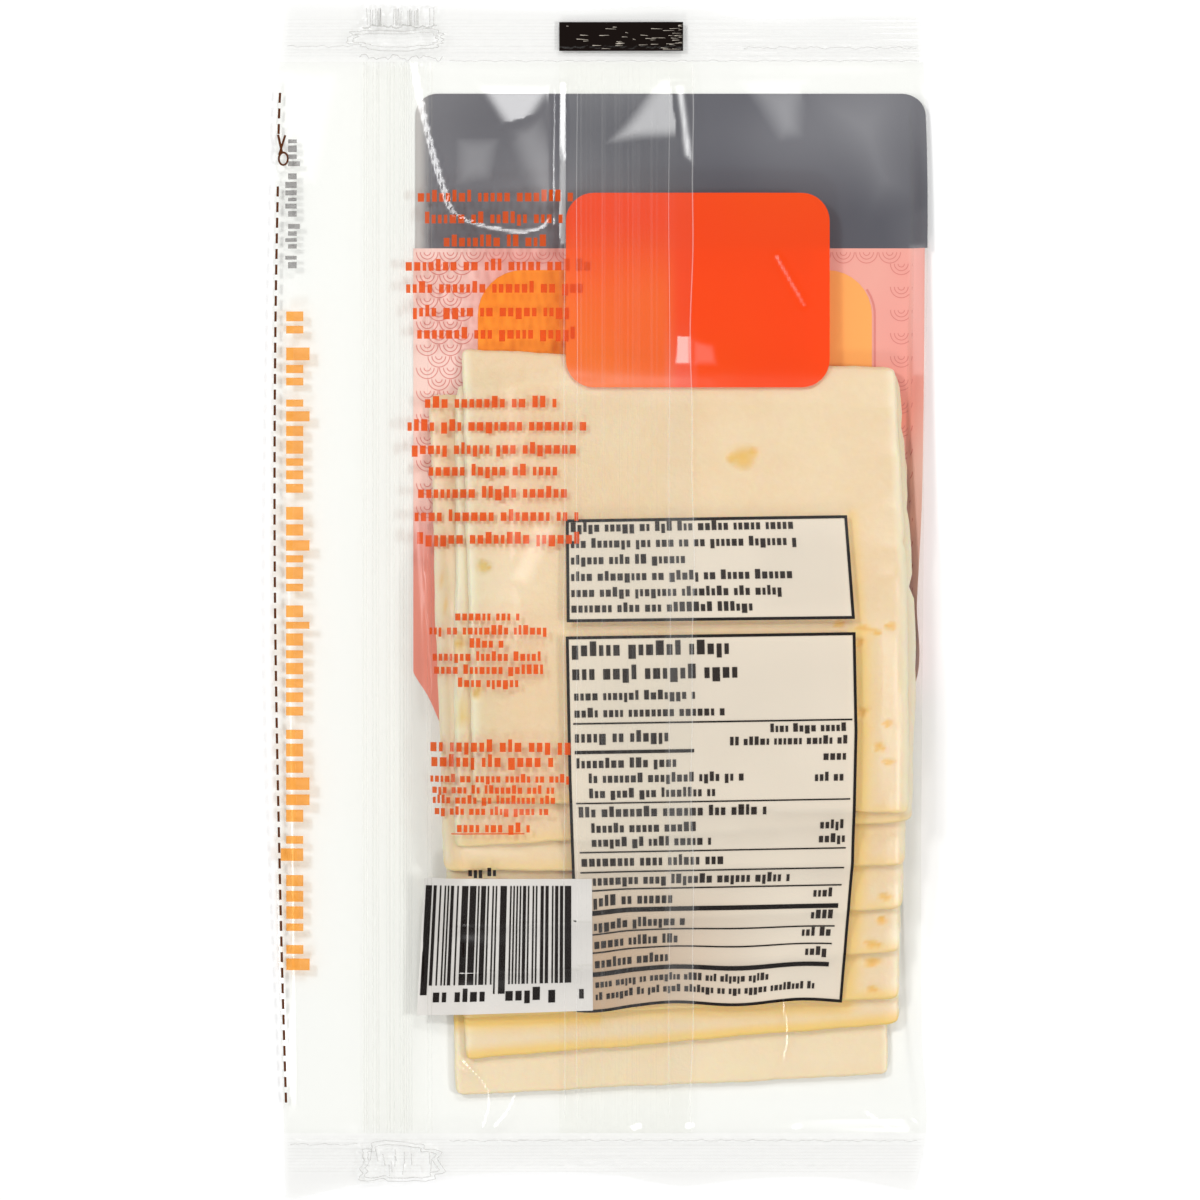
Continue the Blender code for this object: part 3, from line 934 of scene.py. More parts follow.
SEAL_WIDTH = 134.0
SEAL_CELL_X = 0.42
SEAL_CELL_Y = 0.33
CRIMP_PITCH = 1.32
CRIMP_HEIGHT = 0.10
SCALLOP_PITCH = 1.95
SCALLOP_DEPTH = 0.45
CRUSH_HEIGHT = 0.34
LINE_HEIGHT = 0.2

# The crushed ends of the zipper in the seals: left, right, low and high; and the ragged lines.
TOP_PATCHES = ((-49.0, -33.6, 119.2, 123.0), (-51.4, -32.0, 114.3, 118.4))
TOP_LINES = (111.9, 114.8)
BOTTOM_PATCHES = ((-49.5, -33.0, -120.6, -112.6),)
BOTTOM_LINES = (-111.7, -117.2)


def ragged(along, seed, size):
    """A ragged wave of the given size along an edge."""
    draw = random.Random(seed)
    wave = np.zeros(along.shape)
    for pitch in (1.3, 2.1, 3.4, 5.9):
        wave = wave + size * pitch ** 0.5 * 0.4 * np.sin(2.0 * math.pi * (along / pitch + draw.random()))
    return wave


def crush(x, y, patch, seed):
    """The lumpy plateau of the zipper's crushed end in a patch: left, right, low and high."""
    left, right, low, high = patch
    side = np.minimum(x - left + ragged(y, seed, 0.7), right - x + ragged(y, seed + 1, 0.7))
    end = np.minimum(y - low + ragged(x, seed + 2, 0.6), high - y + ragged(x, seed + 3, 0.6))
    inside = smooth_step(np.minimum(side, end), 0.0, 0.55)
    lumps = ragged(x, seed + 4, 0.13) + 0.5 * ragged(x + 0.6 * y, seed + 5, 0.13)
    return inside * (CRUSH_HEIGHT + lumps)


def seal_line(x, y, line, seed):
    """A thin ragged ridge across the seal at Y = line."""
    return LINE_HEIGHT * np.exp(-((y - line + ragged(x, seed, 0.22)) / 0.3) ** 2)


def make_seal(name, inner, cut, patches, lines, scallop, material, seed):
    """A crimped end seal, from its inner line to its cut edge."""
    t = spaced(0.0, 1.0, SEAL_CELL_Y / abs(cut[0][1] - inner))[:, None]
    columns = spaced(-0.5, 0.5, SEAL_CELL_X / SEAL_WIDTH)[None, :]
    guess_x = columns * SEAL_WIDTH
    edge = smooth_curve(cut, guess_x)
    teeth = SCALLOP_DEPTH * np.abs(np.sin(math.pi * guess_x / SCALLOP_PITCH)) * scallop
    y = inner + (edge - teeth * np.sign(inner) - inner) * t
    left = left_fold(y)
    right = right_fold(y)
    x = left + (right - left) * (columns + 0.5)
    crimp = CRIMP_HEIGHT * np.sin(2.0 * math.pi * (y - inner) / CRIMP_PITCH)
    away = smooth_step(np.abs(y - inner), 0.0, 0.8)
    relief = crimp * (0.6 + 0.4 * np.sin(x / 7.0 + y / 5.0))
    for number, patch in enumerate(patches):
        relief = relief + crush(x, y, patch, seed + 10 * number)
    for number, line in enumerate(lines):
        relief = relief + seal_line(x, y, line, seed + number)
    z = rim_height(x, y) + relief * away
    work = Patchwork()
    work.add_grid(x, y, z)
    return work.piece(name, material, "film")


# Thin lines in the film: seam edges partly painted as highlight, faint streaks, and lines of painted shade
# along the zipper's ribs and in the creases and ribs of the seals

# Whitish lines along the lapped seam: X, width, and their high and low ends. The first runs by the lap's
# inner fold and is partly its own whiteness and partly painted highlight; the other two are painted
# highlights along creases.
SEAM_LINES = ((14.6, 0.15, 109.0, -107.0), (-7.1, 0.18, 74.0, -107.0), (-4.5, 0.13, 106.0, -107.0))
STREAKS = 30
# Lines of painted shade along the zipper, at its ribs and the end of its strip, by X.
ZIP_SHADE_LINES = (-48.7, -48.1, -46.8, -46.0, -45.6, -43.9, -43.3, -42.5, -41.0, -40.3, -39.8, -38.75,
             -35.4, -34.6)

# Creases in the crushed ends, drawn as grey lines of painted shade: their width, and how many short ones the
# top and the bottom have.
CREASE_WIDTH = 0.17
CRUSH_CREASES = 26
SHORT_CREASES = 12

# Ragged lines of painted shade across the seals: start, end, Y, how ragged, the seed and the width.
RAGGED_LINES = (
    (-49.6, -32.4, 112.6, 0.35, 73, CREASE_WIDTH),
    (-64.5, -51.0, 114.9, 0.1, 74, 0.12),
    (30.0, 66.0, 114.6, 0.14, 75, 0.12),
    (-31.0, 66.4, 111.9, 0.08, 76, 0.12),
    (-64.0, -50.0, -112.8, 0.12, 77, 0.12),
    (-31.0, 66.0, -112.0, 0.10, 78, 0.12),
)

# The fine ribs of the seals, drawn as faint grey lines of painted shade: where they run, their pitch, width,
# and distance from the folds.
RIB_SPANS = ((SEAL_HIGH + 1.2, 120.4), (-118.4, SEAL_LOW - 1.2))
RIB_PITCH = 0.72
RIB_WIDTH = 0.2
RIB_INSET = 0.8

# The dark mark on the top seal.
MARK_LEFT = -8.2
MARK_RIGHT = 17.5
MARK_LOW = 114.0
MARK_HIGH = 120.0


def make_seam_lines(surfaces, seam, streak, zip_rib_shade):
    """The lap's free edge and the lines along the seam, whitish and partly painted highlight; the streaks in
    the seam; and the zipper's lines of painted shade.
    """
    edges = Sheet(surfaces.left_panel, -0.03)
    stations = spaced(SEAL_HIGH - 1.0, SEAL_LOW + 1.0, 2.0)
    # The lap's cut edge, drawn whitish, partly as painted highlight.
    edges.line([(float(lap_edge(y)) - 0.1, y) for y in stations], 0.26)
    for x, width, high, low in SEAM_LINES:
        edges.line([(x + 0.12 * math.sin(y / 9.0 + x), y) for y in spaced(high, low, 4.0)], width)
    edges.piece("film_seam_lines", seam, "film")

    draw = random.Random(37)
    faint = Sheet(surfaces.left_panel, -0.02)
    for _ in range(STREAKS):
        x = draw.uniform(LAP_RIBS_LEFT, LAP_RIBS_RIGHT - 1.4)
        end = (x + draw.uniform(-0.3, 0.3), SEAL_LOW + 1.0)
        faint.line(((x, SEAL_HIGH - 1.0), end), draw.uniform(0.1, 0.3))
    faint.piece("film_seam_streaks", streak, "film")

    # Painted shade along the zipper's ribs.
    lines = Sheet(surfaces.left_panel, 0.03)
    for x in ZIP_SHADE_LINES:
        lines.line(((x, SEAL_HIGH), (x, SEAL_LOW)), draw.uniform(0.14, 0.3))
    lines.piece("film_zip_shade_lines", zip_rib_shade, "film")


def ragged_line(left, right, y, size, seed):
    x = spaced(left, right, 0.5)
    return list(zip(x, y + ragged(x, seed, size)))


def ragged_ring(left, right, low, high, seed):
    """The ragged outline of a crushed patch."""
    turn = spaced(0.0, 2.0 * math.pi, 0.13)
    across = np.sign(np.cos(turn)) * np.abs(np.cos(turn)) ** 0.5
    up = np.sign(np.sin(turn)) * np.abs(np.sin(turn)) ** 0.7
    uneven = 1.0 + ragged(turn * 3.0, seed, 0.09)
    uneven[-1] = uneven[0]
    x = (left + right) / 2.0 + (right - left) / 2.0 * across * uneven
    y = (low + high) / 2.0 + (high - low) / 2.0 * up * uneven
    return list(zip(x, y))


def seal_face(x, y):
    """A level just over the seals and their crushed parts."""
    return rim_height(x, y) + CRUSH_HEIGHT + 0.25


def make_seal_creases(material):
    """Creases round the zipper's crushed ends, and lines across the seals, drawn as grey lines of painted
    shade.
    """
    creases = Sheet(seal_face, 0.0)
    draw = random.Random(53)
    for number, (left, right, low, high) in enumerate(TOP_PATCHES[1:] + BOTTOM_PATCHES):
        for inset in (0.0, 0.7):
            side = 1.6 * inset
            ring = ragged_ring(left + side, right - side, low + inset, high - inset, 60 + number)
            creases.line(ring, CREASE_WIDTH)
    left, right, low, high = TOP_PATCHES[0]
    creases.line(ragged_line(left, right, low - 0.2, 0.2, 71), 2.0 * CREASE_WIDTH)
    for _ in range(CRUSH_CREASES):
        x = draw.uniform(left + 0.3, right - 0.3)
        start = (x, high - draw.uniform(0.0, 0.8))
        creases.line((start, (x + draw.uniform(-0.2, 0.2), low)), CREASE_WIDTH)
    left, right, low, high = BOTTOM_PATCHES[0]
    for _ in range(SHORT_CREASES):
        x = draw.uniform(left + 1.0, right - 1.0)
        y = draw.uniform(low + 1.0, high - 3.0)
        creases.line(((x, y + 2.4), (x + draw.uniform(-0.5, 0.5), y)), CREASE_WIDTH)
    for start, end, y, size, seed, width in RAGGED_LINES:
        creases.line(ragged_line(start, end, y, size, seed), width)
    creases.piece("film_seal_crease_shade", material, "film")


def make_seal_ribs(material):
    """The fine ribs of both seals, as faint grey lines of painted shade, left out under the dark mark."""
    ribs = Sheet(seal_face, 0.0)
    for low, high in RIB_SPANS:
        for y in spaced(low, high, RIB_PITCH):
            left = float(left_fold(y)) + RIB_INSET
            right = float(right_fold(y)) - RIB_INSET
            spans = ((left, right),)
            if MARK_LOW - 0.3 < y < MARK_HIGH + 0.3:
                spans = ((left, MARK_LEFT - 0.4), (MARK_RIGHT + 0.4, right))
            for start, end in spans:
                ribs.line(((start, y), (end, y)), RIB_WIDTH)
    ribs.piece("film_seal_rib_shade", material, "film")


# The zipper

# Ribs of both strips: X, half width and height.
ZIP_UPPER_RIBS = ((-48.7, 0.16, 0.3), (-46.8, 0.14, 0.25), (-45.6, 0.14, 0.25), (-43.3, 0.16, 0.35),
                  (-41.0, 0.28, 0.7), (-40.2, 0.28, 0.7), (-38.75, 0.16, 0.3))
ZIP_LOWER_RIBS = ((-48.1, 0.14, 0.25), (-46.1, 0.14, 0.25), (-43.9, 0.2, 0.5), (-42.5, 0.2, 0.5),
                  (-39.4, 0.16, 0.3))
ZIP_ENDS = (-110.0, 111.0)

# How far the base of each strip lies below the zipper's top.
ZIP_UPPER_DROP = 0.6
ZIP_LOWER_DROP = 1.75


def strip_section(left, right, ribs, side):
    """A strip's cross-section, with square ribs on its upper or lower side."""
    flat = [(left, 0.0)]
    for rib, half, height in ribs:
        high = side * height
        flat += [(rib - half, 0.0), (rib - half * 0.85, high), (rib + half * 0.85, high), (rib + half, 0.0)]
    return flat + [(right, 0.0)]


def make_strip(name, section, drop, material):
    """Sweep a strip's section along Y, with its base some way below the zipper's top."""
    stations = spaced(ZIP_ENDS[0], ZIP_ENDS[1], 3.0)
    across = np.array([x for x, _ in section])
    up = np.array([z for _, z in section])
    y = np.broadcast_to(stations[:, None], (len(stations), len(across)))
    x = np.broadcast_to(across, y.shape)
    work = Patchwork()
    work.add_grid(x, y, up[None, :] + (smooth_curve(ZIP_TOP, y) - drop))
    return work.piece(name, material, "zipper", smooth=False)


def make_zipper(material):
    """Both strips, each lying some way below the zipper's top."""
    upper = strip_section(ZIP_LEFT, ZIP_RIGHT + 1.3, ZIP_UPPER_RIBS, -1.0)
    lower = strip_section(ZIP_LEFT + 0.5, ZIP_RIGHT + 0.2, ZIP_LOWER_RIBS, 1.0)
    back = make_strip("zip_strip_back", upper, ZIP_UPPER_DROP, material)
    make_strip("zip_strip_front", lower, ZIP_LOWER_DROP, material)
    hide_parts("zipper_band")


# Print

PRINT_CELL = 0.8

# Small print as shares of its height: the blocks' low and high ends, lengths and gaps.
LETTERS = ((0.0, 0.76),) * 7 + ((0.0, 1.04), (0.0, 1.04), (-0.24, 0.76))
LETTER_LENGTHS = (0.3, 0.58)
LETTER_MIDDLE = 0.38
LETTER_GAP = 0.2
WORD_GAP = 0.42
WORD_SIZES = (2, 8)


class Sheet:
    """A printed layer: shapes that follow one surface at one depth, gathered into one piece."""

    def __init__(self, surface, depth):
        self.surface = surface
        self.depth = depth
        self.work = Patchwork()

    def grid(self, x, y):
        self.work.add_grid(x, y, self.surface(x, y) - self.depth)

    def quad(self, corners):
        """A four-sided field, its corners clockwise from the top left."""
        (ax, ay), (bx, by), (cx, cy), (dx, dy) = corners
        s = spaced(0.0, 1.0, PRINT_CELL / max(math.hypot(bx - ax, by - ay), PRINT_CELL))[None, :]
        t = spaced(0.0, 1.0, PRINT_CELL / max(math.hypot(dx - ax, dy - ay), PRINT_CELL))[:, None]
        x = (ax * (1 - s) + bx * s) * (1 - t) + (dx * (1 - s) + cx * s) * t
        y = (ay * (1 - s) + by * s) * (1 - t) + (dy * (1 - s) + cy * s) * t
        self.grid(x, y)

    def between(self, rows, left, right):
        """A field between two lines along Y, given as functions of Y."""
        self.grid(*between_lines(np.array(rows)[:, None], left, right, PRINT_CELL))

    def rounded(self, left, right, high, low, radius, round_low=True):
        """A field between two lines along Y, with rounded corners."""
        def inset(y):
            return corner_inset(y, high, low, radius, round_low)

        rows = corner_rows(high, low, radius, round_low)
        self.between(rows, lambda y: left(y) + inset(y), lambda y: right(y) - inset(y))

    def line(self, points, width):
        """A ribbon of even width along (X, Y) points."""
        path = []
        for (ax, ay), (bx, by) in zip(points, points[1:]):
            count = max(2, int(math.hypot(bx - ax, by - ay) / PRINT_CELL) + 1)
            path += [(ax + (bx - ax) * k / count, ay + (by - ay) * k / count) for k in range(count)]
        path.append(points[-1])
        path = np.array(path)
        heading = np.gradient(path, axis=0)
        heading /= np.linalg.norm(heading, axis=1)[:, None]
        side = np.stack([-heading[:, 1], heading[:, 0]], axis=-1) * width / 2.0
        both = np.stack([path - side, path + side], axis=1)
        self.grid(both[:, :, 0], both[:, :, 1])

    def box(self, x0, x1, high, low):
        self.quad(((x0, high), (x1, high), (x1, low), (x0, low)))

    def piece(self, name, material, slot):
        return self.work.piece(name, material, slot)


def corner_rows(high, low, radius, round_low):
    """Rows from high to low, closer together in the rounded corners."""
    arc = [radius * (1.0 - math.cos(math.pi / 2 * k / 8)) for k in range(9)]
    start = [high - step for step in arc]
    end = [low + step for step in reversed(arc)] if round_low else [low]
    middle = list(spaced(start[-1], end[0], PRINT_CELL))[1:-1]
    return start + middle + end


def corner_inset(y, high, low, radius, round_low):
    """How far a rounded corner draws the side in at each row."""
    near = high - y
    if round_low:
        near = np.minimum(near, y - low)
    gap = np.clip(radius - near, 0.0, radius)
    return radius - np.sqrt(np.maximum(radius ** 2 - gap ** 2, 0.0))


def word_marks(start, end, height, draw):
    """Split a line of small print into words of small plain blocks: start, end, low and high."""
    marks = []
    x = start
    while x < end - 0.4 * height:
        for _ in range(draw.randint(*WORD_SIZES)):
            length = height * draw.uniform(*LETTER_LENGTHS)
            if x + length > end:
                break
            low, high = draw.choice(LETTERS)
            marks.append((x, x + length, (low - LETTER_MIDDLE) * height, (high - LETTER_MIDDLE) * height))
            x += length + LETTER_GAP * height
        x += WORD_GAP * height
    return marks


def upright_line(layer, x, high, low, height, draw):
    """A line of small print that runs down the pack."""
    for start, end, inner, outer in word_marks(0.0, high - low, height, draw):
        layer.box(x + inner, x + outer, high - start, high - end)


def text_line(layer, start, end, y, height, draw):
    """A line of small print that runs across the pack."""
    for x0, x1, low, high in word_marks(start, end, height, draw):
        middle = y + (low + high) / 2.0
        layer.box(x0, x1, middle + (high - low) / 2, middle - (high - low) / 2)


# The front panel's print, which shows through the empty part of the pouch

HEADER_HIGH = 105.2
HEADER_LOW = 73.1
HEADER_RADIUS = 4.6
HEADER_LEFT = -38.1
FIELD_LEAST = -38.5
FOLD_INSET = 0.15
FIELD_LOW = -46.0
FIELD_LEFT = ((-46.0, 2.0), (-41.0, -14.0), (-32.0, -28.0), (-18.6, -36.2), (-15.5, -38.2), (0.1, -38.5),
              (20.9, -38.5), (73.1, -38.5))
FIELD_RIGHT = ((-46.0, 24.0), (-41.0, 40.0), (-32.0, 56.0), (-18.6, 65.0), (0.1, 65.9), (20.9, 66.9),
               (41.6, 67.3), (73.1, 67.6))
PANEL_LEFT = -25.1
PANEL_RIGHT = 56.7
PANEL_HIGH = 68.6
PANEL_LOW = -12.0
PANEL_RADIUS = 9.3

# How far each print lies over the front film: the panel lies over the field as seen from the back,
# and again under it, for the front.
HEADER_DEPTH = -0.06
FIELD_PRINT_DEPTH = -0.05
PANEL_DEPTHS = (-0.13, -0.02)
SCALES_DEPTH = -0.09

# Scales: their size, the widths of their lines and of the panel's edge, and the arcs in each.
SCALE_SIZE = 4.8
SCALE_LINE = 0.17
EDGE_LINE = 0.45
SCALE_ARCS = (0.94, 0.6, 0.28)
SCALES_END = 66.0


def field_left(y):
    return np.maximum(smooth_curve(FIELD_LEFT, y), FIELD_LEAST)


def field_tone(x, y):
    """The field turns coral down its sides, most of all at the right."""
    left = 0.3 * smooth_step(-y, -74.0, 10.0)
    right = 0.25 + 0.55 * smooth_step(-y, -60.0, -10.0)
    by_cheese = 0.5 * smooth_step(-y, -45.0, -35.0) * (1.0 - smooth_step(x, 63.4, 66.0))
    wedge = 0.35 * (1.0 - smooth_step(y, 0.0, 20.0)) * (1.0 - smooth_step(x, -30.0, -20.0))
    return left + wedge + (right - left + by_cheese) * smooth_step(x, 20.0, 58.0)


def field_painted_light(x, y):
    """Painted light: the field is painted paler where it lies in the shade of the cheese."""
    left = smooth_step(y, 8.0, 25.0) * (1.0 - smooth_step(x, -30.0, -20.0))
    right = smooth_step(-y, -45.0, -25.0) * smooth_step(x, 50.0, 60.0)
    return 0.5 * left + 0.5 * right


def fold_line(y):
    """The line just inside the right fold, where the front print ends."""
    return right_fold(y) - FOLD_INSET


def field_right(y):
    return np.minimum(smooth_curve(FIELD_RIGHT, y), fold_line(y))


def header_tone(x, y):
    """The header is paler at its left edge, and a little paler left of the seam."""
    return 1.0 - smooth_step(x, -37.8, -34.8) + 0.1 * (1.0 - smooth_step(x, -11.0, -8.0))


def make_header(surfaces, material):
    header = Sheet(surfaces.front, HEADER_DEPTH)
    header.rounded(lambda y: HEADER_LEFT, fold_line, HEADER_HIGH, HEADER_LOW, HEADER_RADIUS, False)
    paint_tone(header.piece("print_front_header", material, "slate_ink"), header_tone)


def make_field(surfaces, material):
    field = Sheet(surfaces.front, FIELD_PRINT_DEPTH)
    field.between(spaced(HEADER_LOW, FIELD_LOW, PRINT_CELL), field_left, field_right)
    piece = field.piece("print_front_field", material, "warm_ink")
    paint_tone(piece, field_tone)
    # Painted light where the cheese shades the field.
    paint_tone(piece, field_painted_light, "shade")


def make_panel(surfaces, material):
    panel = Sheet(surfaces.front, 0.0)
    for depth in PANEL_DEPTHS:
        panel.depth = depth
        panel.rounded(lambda y: PANEL_LEFT, lambda y: PANEL_RIGHT, PANEL_HIGH, PANEL_LOW, PANEL_RADIUS)
    piece = panel.piece("print_front_panel", material, "warm_ink")
    paint_tone(piece, lambda x, y: smooth_step(x, -20.0, 56.0))


def make_scales(surfaces, material):
    """The scales on the field, and a line along the panel's right edge."""
    scales = Sheet(surfaces.front, SCALES_DEPTH)
    draw_scales(scales)
    edge = []
    for y in spaced(PANEL_HIGH - 4.0, PANEL_LOW + 4.0, 1.5):
        inset = float(corner_inset(y, PANEL_HIGH, PANEL_LOW, PANEL_RADIUS, True))
        edge.append((PANEL_RIGHT + 0.6 - inset, y))
    scales.line(edge, EDGE_LINE)
    scales.piece("print_front_scales", material, "warm_ink")


def draw_scales(layer):
    """Rows of plain arcs, like fish scales, over the part of the field round the panel."""
    row = 0
    y = HEADER_LOW - 0.8
    while y > FIELD_LOW + SCALE_SIZE:
        x = -38.0 + SCALE_SIZE / 2.0 * (row % 2)
        while x < SCALES_END:
            if scale_fits(x, y):
                for size in SCALE_ARCS:
                    layer.line(scale_arc(x, y, size), SCALE_LINE)
            x += SCALE_SIZE
        y -= SCALE_SIZE / 2.0
        row += 1


def scale_fits(x, y):
    """Say whether a whole scale lies on the field and clear of the panel."""
    end = x + SCALE_SIZE
    low = y - SCALE_SIZE / 2.0
    clear = end < PANEL_LEFT - 0.2 or x > PANEL_RIGHT + 1.4 or low > PANEL_HIGH + 0.3
    clear = clear and (low > 15.0 or x > 0.0)
    return clear and x > float(field_left(low)) + 0.2 and end < float(field_right(low)) - 0.4


def scale_arc(x, y, size):
    points = []
    for k in range(13):
        turn = math.pi * k / 12.0
        across = x + SCALE_SIZE / 2.0 * (1.0 - size * math.cos(turn))
        points.append((across, y - SCALE_SIZE / 2.0 * size * math.sin(turn)))
    return points


# The back print

LABEL_LEFT = -6.8
LABEL_RIGHT = 47.8
LABEL_HIGH = 84.4
LABEL_LOW = 44.1
LABEL_RADIUS = 5.8

# The two white panels of small print, as points down their left and right sides.
LIST_LEFT = ((-6.8, 16.7), (-6.6, -4.5))
LIST_RIGHT = ((51.2, 17.6), (52.7, -3.8))
TABLE_LEFT = ((-6.8, -7.4), (-6.2, -37.2), (-5.4, -60.0), (-4.6, -84.2))
TABLE_RIGHT = ((52.8, -6.5), (53.2, -26.9), (52.6, -54.0), (50.3, -83.0))
CODE_LEFT = ((-36.1, -57.4), (-37.7, -86.0))
CODE_RIGHT = ((-1.4, -57.4), (-1.2, -84.8))
FRAME_LINE = 0.62
CODE_START = 0.4
CODE_END = 30.4
CODE_MIDDLE = (CODE_START + CODE_END) / 2.0
CODE_BARS = (0.33, 0.33, 0.66, 0.99, 1.32)
CODE_GAPS = (0.33, 0.33, 0.33, 0.66, 0.66)
CODE_HIGH = 1.5
CODE_LOW = 22.4
GUARD_LOW = 24.4
GUARD_REACH = 1.1
CODE_MARK_DOWN = 24.9
CODE_MARK_HEIGHT = 2.7

# Three groups of marks stand under the bars: their starts and ends across.
CODE_MARKS = ((CODE_START + 2.6, CODE_MIDDLE - 2.0), (CODE_MIDDLE + 2.0, CODE_END - 1.8),
              (CODE_END + 1.6, CODE_END + 3.2))

# Small print in the list: millimetres down, start and end across.
LIST_LINES = ((1.9, 1.0, 48.6), (5.2, 1.0, 47.5), (8.6, 1.0, 25.1), (12.0, 1.0, 46.7), (15.3, 1.0, 45.2),
              (18.5, 1.0, 39.0))
LIST_TEXT = 1.9
TABLE_SAG = 0.9

# Small print in the table: millimetres down, start and end across, and the letters' height.
TABLE_LINES = (
    (3.0, 1.2, 36.3, 2.9), (7.9, 1.2, 37.2, 2.9), (12.5, 1.5, 27.0, 1.9), (16.0, 1.5, 33.4, 1.9),
    (21.0, 1.5, 21.6, 2.3), (19.7, 41.7, 58.3, 1.7), (22.3, 33.4, 58.3, 1.7), (26.4, 1.7, 24.3, 2.0),
    (25.6, 52.7, 57.9, 1.8), (29.5, 4.2, 37.1, 1.9), (29.9, 51.0, 57.9, 1.8), (32.6, 4.2, 30.7, 1.9),
    (36.5, 1.9, 41.9, 2.1), (39.8, 4.4, 26.6, 1.9), (39.8, 52.3, 57.6, 1.8), (42.7, 4.4, 30.3, 1.9),
    (42.7, 52.1, 57.6, 1.8), (46.7, 2.1, 33.0, 2.1), (50.6, 4.4, 46.5, 1.9), (54.6, 4.4, 21.6, 2.1),
    (54.0, 51.5, 56.6, 1.8), (59.4, 4.4, 24.5, 1.9), (58.6, 51.3, 56.4, 1.8), (63.1, 4.4, 23.0, 1.9),
    (62.3, 49.6, 56.2, 1.8), (67.0, 4.4, 21.4, 1.9), (66.4, 50.6, 55.8, 1.8), (71.2, 4.4, 43.4, 1.5),
    (73.7, 4.4, 53.8, 1.5),
)

# Rules in the table: millimetres down, start and end across, and thickness.
TABLE_RULES = (
    (18.0, 1.2, 58.6, 0.34), (23.9, 1.4, 26.0, 0.7), (34.4, 1.4, 58.4, 0.3), (44.6, 1.8, 57.8, 0.3),
    (48.7, 1.8, 57.6, 0.3), (52.3, 1.8, 57.4, 0.3), (56.6, 1.8, 57.0, 0.95), (60.9, 1.8, 56.6, 0.3),
    (64.6, 1.8, 56.3, 0.3), (69.0, 1.8, 56.0, 0.95),
)

# Centred warm lines over the left part: X of the middle, Y, half length and letter height.
WARM_LINES = (
    (-21.0, 83.5, 16.5, 2.35), (-21.0, 79.0, 15.0, 2.35), (-21.0, 74.2, 11.1, 2.35),
    (-20.8, 69.2, 19.2, 2.35), (-20.8, 64.6, 19.1, 2.35), (-21.0, 59.7, 17.5, 2.35),
    (-21.0, 55.1, 16.6, 2.35), (-21.8, 40.8, 14.2, 2.35), (-21.0, 36.0, 18.6, 2.35),
    (-21.3, 31.2, 17.4, 2.35), (-21.9, 26.7, 13.3, 2.35), (-21.7, 22.1, 15.7, 2.35),
    (-21.0, 17.3, 17.1, 2.35), (-20.8, 12.6, 16.8, 2.35), (-22.6, -3.4, 7.0, 1.9),
    (-22.4, -6.3, 12.6, 1.9), (-23.0, -9.0, 3.6, 1.9), (-22.3, -11.7, 12.0, 1.9),
    (-21.9, -14.4, 12.1, 1.9), (-22.3, -17.1, 6.7, 1.9), (-20.2, -30.2, 14.6, 2.5),
    (-21.5, -33.3, 13.1, 2.5), (-20.2, -36.8, 14.6, 1.7), (-21.3, -39.1, 13.1, 1.7),
    (-21.5, -41.2, 12.8, 1.7), (-21.8, -43.5, 12.1, 1.7), (-21.6, -47.0, 7.6, 2.0),
)


def side_at(points, t):
    """The place at t, 0 to 1, down one side of a panel."""
    corners = np.array(points)
    heights = corners[:, 1]
    share = (heights - heights[0]) / (heights[-1] - heights[0])
    return np.interp(t, share, corners[:, 0]), np.interp(t, share, heights)


class Panel:
    """A printed panel that bends with the film; places in it are millimetres across and down."""

    def __init__(self, left, right, sag=0.0):
        self.left = left
        self.right = right
        self.width = right[0][0] - left[0][0]
        self.height = left[0][1] - left[-1][1]
        self.sag = sag

    def place(self, across, down):
        s = np.asarray(across, dtype=float) / self.width
        t = np.asarray(down, dtype=float) / self.height
        left_x, left_y = side_at(self.left, t)
        right_x, right_y = side_at(self.right, t)
        drop = self.sag * smooth_step(t, 0.6, 0.78) * (1.0 - smooth_step(s, 0.02, 0.22))
        drop = drop + 0.5 * self.sag * smooth_step(t, 0.7, 1.0) * np.sin(s * 13.0)
        return left_x + (right_x - left_x) * s, left_y + (right_y - left_y) * s - drop

    def box(self, layer, across0, across1, down0, down1):
        s = spaced(across0, across1, PRINT_CELL)[None, :]
        t = spaced(down0, down1, PRINT_CELL)[:, None]
        across, down = np.broadcast_arrays(s, t)
        layer.grid(*self.place(across, down))

    def words(self, layer, down, start, end, height, draw):
        for x0, x1, low, high in word_marks(start, end, height, draw):
            self.box(layer, x0, x1, down - high, down - low)

    def frame(self, layer, line):
        self.box(layer, 0.0, self.width, 0.0, line)
        self.box(layer, 0.0, self.width, self.height - line, self.height)
        self.box(layer, 0.0, line, line, self.height - line)
        self.box(layer, self.width - line, self.width, line, self.height - line)


def label_tone(x, y):
    """The label looks more orange in the lapped seam and towards its lower left."""
    lapped = 0.55 * (1.0 - smooth_step(x, 13.0, 17.0)) * smooth_step(-y, -80.0, -60.0)
    corner = 0.5 * (1.0 - smooth_step(x + (y - LABEL_LOW) * 0.7, -6.0, 18.0))
    return lapped + corner + 0.12


def make_label(surfaces, material):
    label = Sheet(surfaces.back, FIELD_DEPTH)
    label.rounded(lambda y: LABEL_LEFT, lambda y: LABEL_RIGHT, LABEL_HIGH, LABEL_LOW, LABEL_RADIUS)
    paint_tone(label.piece("print_label", material, "warm_ink"), label_tone)


def panels_painted_shadow(x, y):
    """The white panels are painted browner towards the table's lower left, as painted shadow."""
    return smooth_step(-y, 48.0, 74.0) * (1.0 - smooth_step(x, -2.0, 42.0))


